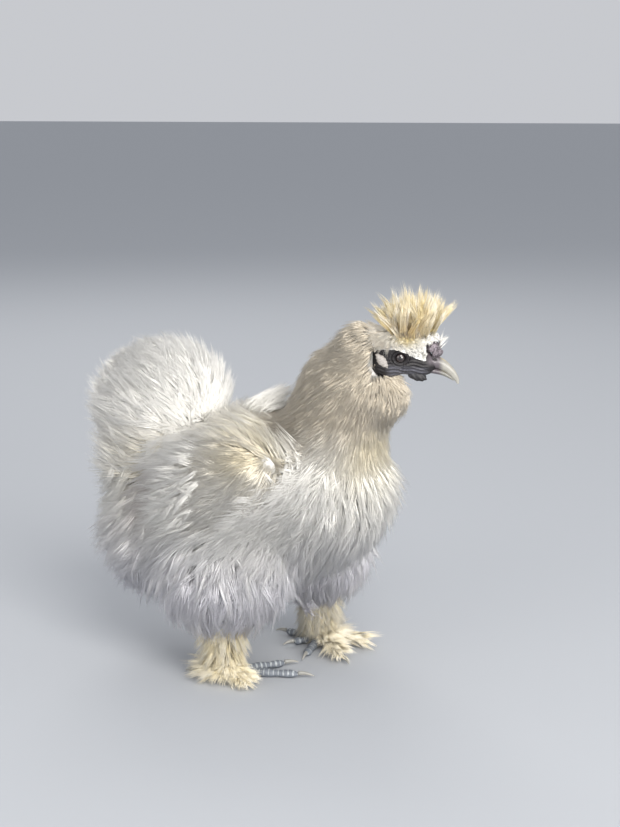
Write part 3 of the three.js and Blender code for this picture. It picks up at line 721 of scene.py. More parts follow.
@dataclass
class Plumage:
    """The coat of one region: where its tufts grow, and how they lie, rise and droop."""

    label: str
    region: Region
    centre: tuple[float, float, float]
    pole: tuple[float, float, float]
    tufts: int
    length: tuple[float, float]
    rise: tuple[float, float]
    strands: Strands
    low: tuple[float, float, float] = (-999, -999, -999)
    high: tuple[float, float, float] = (999, 999, 999)
    whiten: float = 0.0
    bias: tuple[float, float, float] = (0.0, 0.0, 0.0)
    stand: float = 0.25
    cling: float = 0.8
    droop: float = 0.0
    swing: float = 0.2
    floor: float = 10.0
    low_line: float = 110.0
    shortest: float = 14.0
    shift: float = 9.0
    seed: int = 1

    def pick(self, pool: np.ndarray) -> np.ndarray:
        """Draw this coat's roots from the places that its region offers.

        Args:
            pool: places on the region's skin.

        Returns:
            The roots, one a row.
        """
        inside = np.all((pool > np.array(self.low)) & (pool < np.array(self.high)), axis=1)
        chosen = pool[inside]
        return np.random.default_rng(self.seed).permutation(chosen)[: self.tufts]

    def size_at(self, roots: np.ndarray) -> np.ndarray:
        """How long the coat is at each root, as a share that falls towards the face."""
        if self.region is not Region.NECK:
            return np.ones(len(roots))
        from_face = np.linalg.norm(in_head(roots), axis=1)
        return np.interp(from_face, [18, 32, 60, 90], [0.4, 0.7, 1.0, 1.4])

    def guides(self, roots: np.ndarray, rng: np.random.Generator) -> tuple[np.ndarray, np.ndarray]:
        """Grow a guide line from each root.

        Args:
            roots: places on the skin.
            rng: the seeded source of random numbers.

        Returns:
            The guides' points and the ways out at each, tufts by 5 by 3.
        """
        pole = unit(np.array(self.pole, float))
        radial = unit(roots - np.array(self.centre))
        flow = radial * (radial @ pole)[:, None] - pole + np.array(self.bias)
        out = BODY.outward(roots)
        turn = rng.normal(0, self.swing, (len(roots), 1))
        lie = swung(along_skin(flow, out), out, turn)
        heading = unit(lie + self.stand * rng.uniform(0.5, 1.5, turn.shape) * out)
        scale = self.size_at(roots)
        length = rng.uniform(*self.length, turn.shape) * scale[:, None]
        room = np.maximum(roots[:, 2:3] - self.floor, self.shortest)
        length = np.where(roots[:, 2:3] < self.low_line, np.minimum(length, room), length)
        rise = rng.uniform(*self.rise, len(roots)) * scale
        start = BODY.distance(roots)
        points, ways = [roots], [out]
        point = roots
        for share in STEPS:
            step = along_skin(heading, BODY.outward(point), self.cling)
            point = point + unit(step - UP * self.droop * share) * length / len(STEPS)
            way = BODY.outward(point)
            error = start * (1 - share) + rise * share - BODY.distance(point)
            error = np.clip(error, -self.shift, self.shift)
            point = point + way * np.where(error > 0, error, error * self.cling)[:, None]
            point[:, 2] = np.maximum(point[:, 2], self.floor - self.shift)
            points.append(point)
            ways.append(way)
        return np.stack(points, axis=1), np.stack(ways, axis=1)

    def unwrap(self, roots: np.ndarray) -> np.ndarray:
        """Each root's place on the region's round unwrap, from 0 to 1 both ways."""
        pole = unit(np.array(self.pole, float))
        across = unit(np.cross(pole, [0.0, 1.0, 0.0]))
        aside = np.cross(pole, across)
        radial = unit(roots - np.array(self.centre))
        down = np.arccos(np.clip(radial @ pole, -1, 1)) / math.pi
        return unwrapped(share_round(radial @ aside, radial @ across), down)

    def build(self, roots: np.ndarray, name: str) -> bpy.types.Mesh:
        """Make this coat's mesh on these roots."""
        rng = np.random.default_rng(self.seed)
        guides, ways = self.guides(roots, rng)
        tones = mix(coat_tone(roots, self.region), WHITE, self.whiten)
        tips = mix(coat_tone(guides[:, -1], self.region), WHITE, self.whiten)
        return self.strands.build(guides, ways, tones, tips, self.unwrap(roots), rng, name)


@dataclass
class Plume(Plumage):
    """A plume that stands clear of the body and points ahead, as far as its tip."""

    tip: float = 9.0
    uneven: float = 4.0

    def guides(self, roots: np.ndarray, rng: np.random.Generator) -> tuple[np.ndarray, np.ndarray]:
        """Grow a guide line from each root, up first and then level.

        Args:
            roots: places on the skin.
            rng: the seeded source of random numbers.

        Returns:
            The guides' points and the ways out at each, tufts by 5 by 3.
        """
        length = self.tip - roots[:, :1] + rng.normal(0, self.uneven, (len(roots), 1))
        climb = rng.uniform(*self.rise, (len(roots), 1))
        aside = rng.normal(0, self.swing, (len(roots), 1)) * length
        points = []
        for share in (0.0, *STEPS):
            bow = climb * (1 - (1 - share) ** 2)
            points.append(roots + np.concatenate([length * share, aside * share, bow], axis=1))
        lines = np.stack(points, axis=1)
        return lines, np.broadcast_to(np.array([0.0, -1.0, 0.3]), lines.shape)


@dataclass
class BodySkin:
    """The skin of trunk, neck, tail, wings and thighs, one closed surface under the coat."""

    voxel: float = 3.5
    relax: int = 6
    leg_radius: float = 9.5
    leg_lift: float = 6.0
    # how much darker the skin is painted than the coat, as painted shade
    shade: float = 0.72

    def mesh(self) -> bpy.types.Mesh:
        """Build the skin in millimetres."""
        bm = bmesh.new()
        for region, form in FORMS.items():
            for blob in form.blobs:
                add_ball(bm, blob, NECK_DEPTH if region is Region.NECK else SKIN_DEPTH)
        for leg in LEGS:
            foot, hock = np.array(leg.ball), np.array(leg.hock)
            middle, half = (foot + hock) / 2, np.linalg.norm(hock - foot) / 2
            lean = math.degrees(math.atan2(hock[0] - foot[0], hock[2] - foot[2]))
            radii = (self.leg_radius, self.leg_radius, half + self.leg_lift)
            add_ball(bm, Blob(tuple(middle + UP * self.leg_lift), radii, lean))
        mesh = remeshed(bm, self.voxel, self.relax, "body_skin")
        # painted shade: the skin takes the coat's colour darkened, as coat in shadow where it shows between
        # tufts
        set_tint(mesh, coat_tone(coordinates(mesh), None) * self.shade)
        return mesh

    @staticmethod
    def scatter(mesh: bpy.types.Mesh, count: int, seed: int) -> np.ndarray:
        """Places spread evenly at random over a mesh.

        Args:
            mesh: the surface, in millimetres.
            count: how many places.
            seed: seeds the draw.

        Returns:
            One place a row.
        """
        rng = np.random.default_rng(seed)
        points = coordinates(mesh)
        mesh.calc_loop_triangles()
        corners = np.empty(len(mesh.loop_triangles) * 3, np.int32)
        mesh.loop_triangles.foreach_get("vertices", corners)
        a, b, c = (points[corners.reshape(-1, 3)[:, k]] for k in range(3))
        areas = np.linalg.norm(np.cross(b - a, c - a), axis=1)
        chosen = rng.choice(len(areas), count, p=areas / areas.sum())
        u, v = rng.uniform(0, 1, (2, count, 1))
        over = u + v > 1
        u, v = np.where(over, 1 - u, u), np.where(over, 1 - v, v)
        return a[chosen] + (b - a)[chosen] * u + (c - a)[chosen] * v


@dataclass(frozen=True)
class Toe:
    """One toe: which way it points, in degrees from straight ahead to the left, and how long it is."""

    digit: int
    heading: float
    length: float
    bare: bool = True
    raised: float = 0.0

    def way(self) -> np.ndarray:
        """The level way in which the toe points."""
        return level_way(math.radians(self.heading))


@dataclass
class Leg:
    """A shank and foot, with the skin of its toes and the claws."""

    side: str
    ball: tuple[float, float, float]
    hock: tuple[float, float, float]
    toes: tuple[Toe, ...]
    outward: float
    fan: tuple[float, float]
    # how far the foot's feathers may go from cream to buff; the far foot's lower value paints its feathers
    # paler, as painted light on a foot that the body shades
    buff: float
    radius: float = 4.3
    flat: float = 0.82
    scute_length: float = 4.2
    skin_radius: float = 6.5
    shank_tufts: int = 420
    shank_length: tuple[float, float] = (20, 32)
    fan_tufts: int = 150
    fan_length: tuple[float, float] = (22, 34)
    toe_tufts: int = 80
    toe_length: tuple[float, float] = (16, 27)
    claw_length: float = 9.5
    claw_share: float = 0.08
    claw_girth: float = 0.48

    def line(self, toe: Toe, share: np.ndarray) -> np.ndarray:
        """Places along a toe's middle, for shares of its length."""
        share = np.atleast_1d(share).astype(float)
        knuckle = self.ball[2] - 1.5
        height = knuckle + (self.radius * self.flat - knuckle) * np.minimum(1, share / 0.22)
        climb = np.clip((share - 0.2) / 0.8, 0, None)
        points = np.array(self.ball) + share[:, None] * toe.length * toe.way()
        points[:, 2] = height + toe.raised * (0.35 + climb**2)
        return points

    def toe_mesh(self, toe: Toe) -> bpy.types.Mesh:
        """A toe with its scutes above, pads below and pale rings between them."""
        left = np.cross(UP, toe.way())
        scutes = round(toe.length / self.scute_length)

        def shape(share: np.ndarray, angle: np.ndarray) -> np.ndarray:
            """Places round the toe for shares of its length and angles."""
            middle = self.line(toe, share)
            cap = np.sqrt(1 - ((share - 0.9) / 0.1).clip(0, 1) ** 2) * np.minimum(share / 0.02, 1)
            phase = np.modf(share * scutes)[0]
            scute = 0.28 * (1 - phase) * (np.sin(angle) > -0.2)
            joint = 0.35 * np.cos(2 * math.pi * share * 3.5)
            size = (self.radius * (1 - 0.3 * share) + scute + joint) * cap
            point = middle + np.cos(angle)[:, None] * size[:, None] * left
            point[:, 2] += np.sin(angle) * size * 0.92
            point[:, 2] = np.maximum(point[:, 2], 0.0)
            return point

        mesh = sweep(shape, 18, max(24, scutes * 6))
        points = coordinates(mesh)
        share = ((points - np.array(self.ball)) @ toe.way()) / toe.length
        phase = np.modf(np.clip(share, 0, 1) * scutes)[0]
        edge = (phase > 0.8)[:, None] * (points[:, 2:3] > 3.0)
        set_tint(mesh, mix(TOE_SLATE, TOE_PALE, edge * 0.75 + 0.12))
        return mesh

    def claw_mesh(self, toe: Toe) -> bpy.types.Mesh:
        """A curved, tapered claw."""
        ahead = toe.way()
        left = np.cross(UP, ahead)
        start = self.line(toe, 0.985)[0]
        reach = self.claw_length + toe.length * self.claw_share
        base = self.radius * self.claw_girth

        def shape(share: np.ndarray, angle: np.ndarray) -> np.ndarray:
            """Places round the claw for shares of its length and angles."""
            size = base * (1 - share) ** 0.6 * np.minimum(share / 0.03, 1)
            middle = start + ahead * reach * share[:, None]
            drop = start[2] + 0.9 + 0.6 * np.sin(share * 2.4) - (start[2] - 0.2) * share**2.2 * 0.75
            point = middle + np.cos(angle)[:, None] * size[:, None] * left * 0.8
            point[:, 2] = np.maximum(drop + np.sin(angle) * size, 0.1)
            return point

        mesh = sweep(shape, 16, 22)
        share = np.clip(((coordinates(mesh) - start) @ ahead) / reach, 0, 1)[:, None]
        set_tint(mesh, mix(HORN_GREY * 0.8, HORN_PALE, share))
        return mesh

    def pad_mesh(self) -> bpy.types.Mesh:
        """The ball of the foot and the shank above it, as far as the coat hides it."""
        low, high = np.array([self.ball[0], self.ball[1], 0.0]), np.array(self.hock)

        def shape(share: np.ndarray, angle: np.ndarray) -> np.ndarray:
            """Places round the shank for shares of its height and angles."""
            middle = low + (high - low) * share[:, None]
            size = np.interp(share, [0, 0.02, 0.1, 0.25, 0.9, 1], [0, 6.5, 8.5, 7.0, 9.0, 0])
            middle[:, 0] += np.cos(angle) * size
            middle[:, 1] += np.sin(angle) * size
            return middle

        mesh = sweep(shape, 24, 40)
        set_tint(mesh, np.tile(FOOT_BUFF * 0.8, (len(mesh.vertices), 1)))
        return mesh

    def feathers(self, seed: int) -> tuple[np.ndarray, np.ndarray]:
        """Guides of the feathers on shank and foot.

        Args:
            seed: seeds the draw.

        Returns:
            The guides' points and the ways out at each.
        """
        rng = np.random.default_rng(seed)
        ball, hock = np.array(self.ball), np.array(self.hock)
        low = ball + UP * 4
        guides = []
        for _ in range(self.shank_tufts):
            share = rng.uniform(0.0, 1.0)
            out = level_way(rng.uniform(0, 2 * math.pi))
            root = low + (hock - low) * share + out * self.skin_radius
            outer = 0.75 + 0.35 * out[1] * self.outward
            flare = (0.95 - 0.1 * share) * outer
            length = rng.uniform(*self.shank_length) * (0.8 + 0.25 * outer)
            guides.append(self.droop_line(root, out * flare - UP * 0.62, length, 1.1))
        for _ in range(self.fan_tufts):
            out = level_way(math.radians(rng.uniform(*self.fan)))
            root = ball + out * rng.uniform(0, 9) + UP * rng.uniform(-3, 3)
            way = out + UP * rng.uniform(-0.05, 0.35)
            guides.append(self.droop_line(root, way, rng.uniform(*self.fan_length), 0.5))
        for toe in self.toes:
            for _ in range(0 if toe.bare else self.toe_tufts):
                place = self.line(toe, rng.uniform(0.05, 0.85))[0]
                root = place + [0, rng.normal(0, 2.5), rng.uniform(1, 5)]
                out = level_way(math.radians(toe.heading + rng.normal(0, 28)))
                way = out + UP * rng.uniform(0.0, 0.5)
                guides.append(self.droop_line(root, way, rng.uniform(*self.toe_length), 0.8))
        lines = np.array(guides)
        return lines, np.broadcast_to(UP, lines.shape) + unit(lines - ball) * 0.6

    @staticmethod
    def droop_line(root: np.ndarray, way: np.ndarray, length: float, fall: float) -> np.ndarray:
        """A line of five points that sets out one way and droops."""
        points = [root]
        way = unit(way)
        for share in STEPS:
            step = unit(way - UP * fall * share * 0.5)
            point = points[-1] + step * length / len(STEPS)
            point[2] = max(point[2], 1.2 + 1.2 * (1 - share))
            points.append(point)
        return np.array(points)


LEGS = (
    Leg(
        "right",
        (-28, -42, 9),
        (-30, -43, 70),
        (Toe(2, 41, 52), Toe(3, 13, 61), Toe(4, -38, 34, False), Toe(1, 192, 25), Toe(5, 150, 26, True, 9)),
        -1.0,
        (-185, -10),
        0.6,
    ),
    Leg(
        "left",
        (18, 62, 9),
        (18, 56, 66),
        (Toe(2, -86, 44), Toe(3, -49, 56, False), Toe(4, -2, 42, False), Toe(1, 227, 26), Toe(5, 172, 34)),
        1.0,
        (-45, 140),
        # painted light: the far foot's feathers are kept paler than the near foot's
        0.3,
    ),
)


# Bill: how far ahead, how high, half as wide and half as high as it is, from base to tip
UPPER_BILL = (
    (17, -3.2, 6.2, 5.0),
    (22, -3.8, 6.3, 5.2),
    (28, -5.0, 5.5, 5.1),
    (35, -8.2, 4.1, 4.3),
    (41, -13, 2.7, 3.2),
    (45.2, -18.6, 1.35, 2.1),
    (47.2, -23.4, 0.3, 0.5),
)
LOWER_BILL = (
    (16, -10.9, 5.0, 2.4),
    (28, -12.6, 4.1, 2.3),
    (35, -14.6, 2.9, 1.9),
    (40.6, -17.9, 1.6, 1.2),
    (43.4, -20.4, 0.4, 0.4),
)
NOSTRIL = (27.4, -2.4)


def eased(values: np.ndarray, share: np.ndarray) -> np.ndarray:
    """Values that stand evenly along a line, read smoothly at shares of it.

    Args:
        values: one value a station.
        share: where to read them, from 0 to 1.

    Returns:
        One value for each share.
    """
    knots = np.linspace(0, 1, len(values))
    slopes = np.gradient(values, knots)
    place = np.clip(np.searchsorted(knots, share, side="right") - 1, 0, len(knots) - 2)
    span = knots[1]
    t = (share - knots[place]) / span
    return (
        (2 * t**3 - 3 * t**2 + 1) * values[place]
        + (t**3 - 2 * t**2 + t) * span * slopes[place]
        + (3 * t**2 - 2 * t**3) * values[place + 1]
        + (t**3 - t**2) * span * slopes[place + 1]
    )


@dataclass
class Head:
    """The face: skull with lids, folds and the mouth's line, bill, comb, ear lobes, wattles and eyes."""

    detail: int = 7
    skull_reach: float = 45.0
    comb_voxel: float = 0.36
    comb_grains: int = 34
    fold_detail: int = 5
    lobe_size: tuple[float, float, float] = (3.6, 2.2, 7.4)
    lobe_lean: float = -40.0
    wattle_size: tuple[float, float, float] = (7.6, 2.0, 3.4)
    wattle_lean: float = 14.0
    pupil: float = 1.45
    iris: float = 3.0
    cap_roots: int = 3600
    cap_length: tuple[float, float] = (5.5, 8.0)
    cap_swing: float = 0.22
    crest_tufts: int = 330
    crest_middle: float = 9.0
    crest_half: float = 16.5
    comb_hairs: int = 12
    hair_length: tuple[float, float] = (8, 13)

    def skull_mesh(self) -> bpy.types.Mesh:
        """The skin of the head in millimetres, dark where it is bare."""
        mesh = ball_mesh(self.detail, "head_skin")
        ways = unit(coordinates(mesh))
        centre = on_head([0.0, 0.0, 2.0])
        near, far = np.zeros(len(ways)), np.full(len(ways), self.skull_reach)
        for _ in range(22):
            middle = (near + far) / 2
            inside = SKULL.distance(centre + ways * middle[:, None]) < 0
            near, far = np.where(inside, middle, near), np.where(inside, far, middle)
        points = centre + ways * near[:, None]
        local = in_head(points)
        points = points + ways * self.relief(local)[:, None]
        move_vertices(mesh, points)
        set_tint(mesh, self.face_tone(in_head(points)))
        return mesh

    @staticmethod
    def relief(local: np.ndarray) -> np.ndarray:
        """Height of lids, folds, pores and the mouth's line over the plain skull.

        Args:
            local: places in the head's own frame.

        Returns:
            One height for each place, in millimetres.
        """
        x, y, z = local.T
        ring = np.hypot(x / 1.12, z / 0.94)
        side = np.abs(y) > 5
        socket = 3.9
        lid = 1.7 * bell(ring, 4.9, 0.85) - 3.2 * (ring < socket) * (1 - (ring / socket) ** 4)
        crease = 0.5 * bell(ring, 7.4, 0.6) - 0.35 * bell(ring, 6.5, 0.45)
        mouth = -1.3 * bell(z + (x - 20) * 0.35, -10.6, 0.55) * (x > 12) * (x < 27)
        cheek = (z < 2) & (z > -19) & (x > -19) & (x < 22)
        folds = 0.42 * np.sin(z * 2.3 + 0.32 * x + 1.3 * np.sin(x * 0.42)) * cheek * bell(z, -9, 8)
        bags = 0.7 * bell(z + 0.012 * (x - 2) ** 2, -6.8, 1.2) * (np.abs(x) < 12)
        spots = [Vector(row) for row in local]
        grain = np.array([noise.noise(spot * 0.9) + 0.5 * noise.noise(spot * 2.1) for spot in spots])
        return (lid + crease + mouth + folds + bags) * side + grain * 0.28

    @staticmethod
    def band_top(x: np.ndarray) -> np.ndarray:
        """Upper edge of the bare band of the face, in the head's own frame."""
        return np.interp(x, [-24, -14, -3, 5, 12, 20, 24, 26], [5.0, 6.4, 6.4, 3.6, -0.6, -3.4, 2.0, 12.0])

    @staticmethod
    def is_bare(local: np.ndarray) -> np.ndarray:
        """Whether a place on the head is bare skin."""
        x, _, z = local.T
        return ((z < Head.band_top(x)) & (x > -22)) | ((x > 20.5) & (z < 11))

    def face_tone(self, local: np.ndarray) -> np.ndarray:
        """Colour of the head's skin: dark round the eye, slate below, the coat's where feathered."""
        x, _, z = local.T
        waves = 0.5 + 0.5 * np.sin(z * 1.9 + 0.35 * x + 1.2 * np.sin(x * 0.5))
        slate = np.clip((-5.6 - z - 0.1 * x) / 2.5, 0, 1) * (0.35 + 0.65 * waves)
        slate = slate * np.clip((x + 12) / 5, 0, 1) * np.clip((24 - x) / 6, 0, 1)
        cere = np.clip((x - 20) / 4, 0, 1) * np.clip((z + 8) / 4, 0, 1)
        colour = mix(mix(FACE_DARK, FACE_GREY, slate[:, None]), COMB_GREY, cere[:, None] * 0.7)
        bare = self.is_bare(local)[:, None]
        return np.where(bare, colour, WHITE * 0.9)

    @staticmethod
    def bill_mesh(upper: bool) -> bpy.types.Mesh:
        """One half of the bill, with the ridge, the nostrils and a painted yellowish highlight on the upper
        one.
        """
        stations = np.array(UPPER_BILL if upper else LOWER_BILL)

        def shape(share: np.ndarray, angle: np.ndarray) -> np.ndarray:
            """Places round the bill for shares of its length and angles."""
            x, z, wide, high = (eased(stations[:, column], share) for column in range(4))
            cap = np.minimum(share / 0.015, 1) * np.minimum((1 - share) / 0.012, 1)
            before, after = np.clip(share - 0.02, 0, 1), np.clip(share + 0.02, 0, 1)
            ahead, climb = (
                eased(stations[:, column], after) - eased(stations[:, column], before) for column in (0, 1)
            )
            bend = np.arctan2(climb, ahead)
            rise = np.sin(angle)
            ridge = np.where(rise > 0, np.abs(rise) ** 0.85, -np.abs(rise) ** 0.7) if upper else rise
            across = np.sign(np.cos(angle)) * np.abs(np.cos(angle)) ** 0.9 * wide * cap
            up = ridge * high * cap
            return np.stack([x - np.sin(bend) * up, across, z + np.cos(bend) * up], axis=1)

        mesh = sweep(shape, 40, 70, "bill")
        points = coordinates(mesh)
        x, y, z = points.T
        pit = np.zeros(len(points))
        if upper:
            ahead, above = x - NOSTRIL[0], z - NOSTRIL[1]
            along = ahead * 0.9 - above * 0.42
            over = ahead * 0.42 + above * 0.9
            pit = np.exp(-((along / 2.1) ** 4) - (over / 0.95) ** 4) * (np.abs(y) > 2)
            points[:, 1] -= np.sign(y) * pit * 1.6
        move_vertices(mesh, on_head(points))
        base = np.clip((x - 31) / 3.5, 0, 1)[:, None]
        # painted highlight: a yellowish band across the top of the upper bill where it leaves the comb
        ridge = bell(x, 34, 3)[:, None] * (y[:, None] ** 2 < 6)
        horn = mix(HORN_PALE * 0.86, HORN_PALE, np.clip((x[:, None] - 33) / 10, 0, 1))
        colour = mix(COMB_GREY * 0.62, mix(horn, YELLOW, ridge * 0.4) if upper else horn * 0.7, base)
        # painted shade: each nostril pit is darkened for the dark inside of its opening
        colour = mix(colour, FACE_DARK * 0.4, pit[:, None])
        set_tint(mesh, colour)
        return mesh

    def comb_mesh(self) -> bpy.types.Mesh:
        """The cushion comb, a mass of small round lumps."""
        rng = np.random.default_rng(17)
        bm = bmesh.new()
        lumps = [(24, 0, 10, 5.4), (29, 0, 6.5, 4.6), (31, 0, 2.4, 3.6)]
        for side in (-1, 1):
            lumps += [(27, 4 * side, 8, 3.8), (24.5, 6.4 * side, 6.5, 3.4), (28, 5.4 * side, 2.6, 3.2)]
        for x, y, z, radius in lumps:
            add_ball(bm, head_blob((x, y, z), (radius * 0.9,) * 3))
            for _ in range(self.comb_grains):
                way = unit(rng.normal(0, 1, 3))
                at = np.array([x, y, z]) + way * radius * 0.84
                size = radius * rng.uniform(0.13, 0.26)
                add_ball(bm, head_blob(tuple(at), (size,) * 3), detail=3)
        mesh = remeshed(bm, self.comb_voxel, 1, "comb")
        points = coordinates(mesh)
        spots = [Vector(row) for row in points]
        relief = np.array([noise.noise(spot * 1.4) + noise.noise(spot * 0.5) for spot in spots])
        set_tint(mesh, mix(COMB_GREY * 0.4, COMB_GREY * 1.6, (relief * 0.8 + 0.5)[:, None]))
        return mesh

    def lobe_mesh(self, sign: float) -> bpy.types.Mesh:
        """An ear lobe: a flat, pointed oval that hangs behind the eye, finely creased."""
        mesh = ball_mesh(self.fold_detail, "lobe")
        points = coordinates(mesh)
        points[:, 0] *= 1 - 0.45 * np.abs(points[:, 2]) ** 1.5
        creases = 1 + 0.05 * np.sin(points[:, 2] * 16 + points[:, 0] * 3)
        points = points * np.array(self.lobe_size) * creases[:, None]
        points = points @ pitch_matrix(self.lobe_lean).T
        points += [-14.6, sign * 13.0, -2.6]
        move_vertices(mesh, on_head(points))
        edge = np.abs(np.sin(points[:, 2:3] * 2.2 + points[:, 0:1]))
        set_tint(mesh, mix(LOBE_GREY * 0.82, LOBE_GREY, edge))
        return mesh

    def wattle_mesh(self, sign: float) -> bpy.types.Mesh:
        """A wattle: a short, soft flap under the jaw."""
        mesh = ball_mesh(self.fold_detail, "wattle")
        points = coordinates(mesh)
        points = points * (1 + 0.06 * np.sin(points[:, 0:1] * 9 + points[:, 2:3] * 5))
        points = points * np.array(self.wattle_size)
        points = points @ pitch_matrix(self.wattle_lean).T
        points += [14, sign * 5.6, -16.4]
        move_vertices(mesh, on_head(points))
        shade = np.clip((points[:, 2:3] + 20) / 8, 0, 1)
        set_tint(mesh, mix(FACE_DARK * 0.7, FACE_GREY * 0.3, shade))
        return mesh

    def eye_mesh(self, sign: float) -> bpy.types.Mesh:
        """An eyeball with its pupil and dark iris."""
        bm = bmesh.new()
        bmesh.ops.create_uvsphere(bm, u_segments=48, v_segments=32, radius=EYE_RADIUS)
        mesh = mesh_from(bm, "eye")
        points = coordinates(mesh) @ np.array([[1.0, 0, 0], [0, 0, -sign], [0, sign, 0]]).T
        ring = np.hypot(points[:, 0], points[:, 2])
        seen = points[:, 1] * sign > 0
        iris = ((ring > self.pupil) & (ring < self.iris) & seen)[:, None]
        colour = np.where(iris, IRIS_BROWN, PUPIL_BLACK)
        points += [0, sign * EYE_SIDE, 0]
        move_vertices(mesh, on_head(points))
        set_tint(mesh, colour)
        return mesh

    def cap(self, skull: bpy.types.Mesh, strands: Strands) -> bpy.types.Mesh:
        """Short feathers over brow, crown and the back of the head.

        Args:
            skull: the head's skin.
            strands: how fine the tufts are.

        Returns:
            The coat's mesh.
        """
        rng = np.random.default_rng(23)
        roots = BodySkin.scatter(skull, self.cap_roots, 24)
        local = in_head(roots)
        x, _, z = local.T
        edge = self.band_top(x) + rng.uniform(0.6, 2.2, len(local))
        keep = (z > edge) & (x < 30) & ((x < 20.5) | (z > 11))
        roots, local = roots[keep], local[keep]
        x, y, z = local.T
        out = SKULL.outward(roots)
        low = np.clip((14 - z) / 8, 0, 1)
        flow = np.stack([-0.6 - 0.3 * low, y * 0.05 * (1 - low), -0.3 + 0.5 * low * (x > -20)], axis=1)
        turn = rng.normal(0, self.cap_swing, (len(roots), 1))
        lie = swung(along_skin(flow @ HEAD_TURN.T, out), out, turn)
        nape = np.clip((4 - local[:, :1]) / 12, 0, 1)
        above = np.clip((z - self.band_top(x))[:, None] / 13, 0.25, 1)
        behind = np.clip((-24 - local[:, :1]) / 4, 0, 1)
        full = np.maximum(above, behind)
        length = rng.uniform(*self.cap_length, (len(roots), 1)) * full * (1 + 2.2 * nape * full)
        points, ways = [roots - out * 0.8], [out]
        point = points[0]
        for share in STEPS:
            point = point + lie * length / len(STEPS)
            way = HOOD.outward(point)
            height = share * (3.2 + 0.8 * nape[:, 0]) - 0.8
            point = point + way * (height - HOOD.distance(point))[:, None]
            lie = along_skin(lie, way)
            points.append(point)
            ways.append(way)
        guides = np.stack(points, axis=1)
        crown = CROWN_SPOT.share(local)
        tones = mix(mix(WHITE, YELLOW, crown * 0.9), HACKLE, nape * rng.uniform(0.35, 1.0, nape.shape))
        tones = mix(tones, HACKLE * 0.8, nape * np.clip((12 - z[:, None]) / 10, 0, 1) * 0.8)
        unwrap = globe_unwrap(unit(local))
        return strands.build(guides, np.stack(ways, axis=1), tones, tones, unwrap, rng, "head_cap")

    def crest(self, strands: Strands) -> bpy.types.Mesh:
        """The crest: spiky tufts that fan out of the crown, amber at their roots and pale at their tips,
        partly their own colour and partly a painted highlight.
        """
        rng = np.random.default_rng(29)
        count = self.crest_tufts
        along, across = rng.uniform(-1, 1, (2, count))
        x = self.crest_middle + self.crest_half * along
        half_turn = np.interp(np.abs(x - self.crest_middle), [0, 5, 12, 16], [126, 112, 88, 56])
        turn = across * np.radians(half_turn)
        girth = np.sqrt(np.clip(1 - ((x - 7) / 23) ** 2, 0.1, 1))
        y = 12.5 * np.sin(turn) * girth
        z = 14 + 11 * np.cos(turn) * girth
        out = np.stack([(x - 7) / 40, np.sin(turn), np.cos(turn)], axis=1)
        crown = np.stack([x, y, z], axis=1)
        roots = crown - out * 1.5
        side = np.abs(np.sin(turn))
        tops = np.interp(x, [-8, 0, 10, 20, 27], [45, 52, 56, 54, 49]) + rng.normal(0, 2.2, count)
        tops -= side**2 * rng.uniform(3, 15, count) + 20 * rng.uniform(0, 1, count) ** 2
        low = (side > 0.75) & (rng.uniform(0, 1, count) < 0.6)
        tops = np.where(low, z + rng.uniform(11, 24, count), tops)
        fan = (x - self.crest_middle) / 56 + rng.normal(0, 0.15, count) + side * rng.normal(0, 0.2, count)
        fan = np.where(low, fan * 1.6 - 0.25, fan)
        splay = np.sin(turn) * rng.uniform(0.45, 1.1, count) + rng.normal(0, 0.15, count)
        lean = np.stack([fan, splay, np.ones(count)], axis=1)
        length = (tops - z)[:, None] * np.linalg.norm(lean, axis=1, keepdims=True)
        curl = rng.normal(0, 0.18, count)
        bend = np.stack([lean[:, 0] * 0.4 + curl, -np.sin(turn) * 0.5, np.zeros(count)], axis=1)
        points = [roots]
        for share in STEPS:
            points.append(points[-1] + unit(lean + bend * (share - 0.3)) * length / len(STEPS))
        guides = on_head(np.stack(points, axis=1).reshape(-1, 3)).reshape(-1, 5, 3)
        ways = np.broadcast_to(np.array([0.1, 1.0, 0.0]) @ HEAD_TURN.T, guides.shape)
        tones = mix(YELLOW, AMBER, CREST_SPOT.share(crown) * rng.uniform(0.4, 1.0, (count, 1)))
        # pale tips: partly the feathers' own paler tips, partly a painted highlight
        tips = mix(YELLOW, WHITE, rng.uniform(0.1, 0.85, (count, 1)))
        unwrap = globe_unwrap(unit(roots - [7.0, 0.0, 8.0]))
        return strands.build(guides, ways, tones, tips, unwrap, rng, "crest")

    def comb_tuft(self, strands: Strands) -> bpy.types.Mesh:
        """The few white hairs that stand in front of the comb."""
        rng = np.random.default_rng(31)
        lines, outs = [], []
        for _ in range(self.comb_hairs):
            way = unit(np.array([rng.uniform(0.3, 0.9), rng.normal(0, 0.25), rng.uniform(0.5, 0.9)]))
            root = np.array([31.0, rng.normal(0, 2.0), 8.0 + rng.normal(0, 1.2)])
            length = rng.uniform(*self.hair_length)
            lines.append([root + way * length * share for share in (-0.2, 0.1, 0.4, 0.7, 1.0)])
            outs.append([[0.0, 1.0, 0.0]] * 5)
        guides = on_head(np.array(lines).reshape(-1, 3)).reshape(-1, 5, 3)
        tones = np.tile(WHITE, (len(lines), 1))
        unwrap = rng.uniform(0.1, 0.9, (len(lines), 2))
        return strands.build(guides, np.array(outs), tones, tones, unwrap, rng, "comb_tuft")


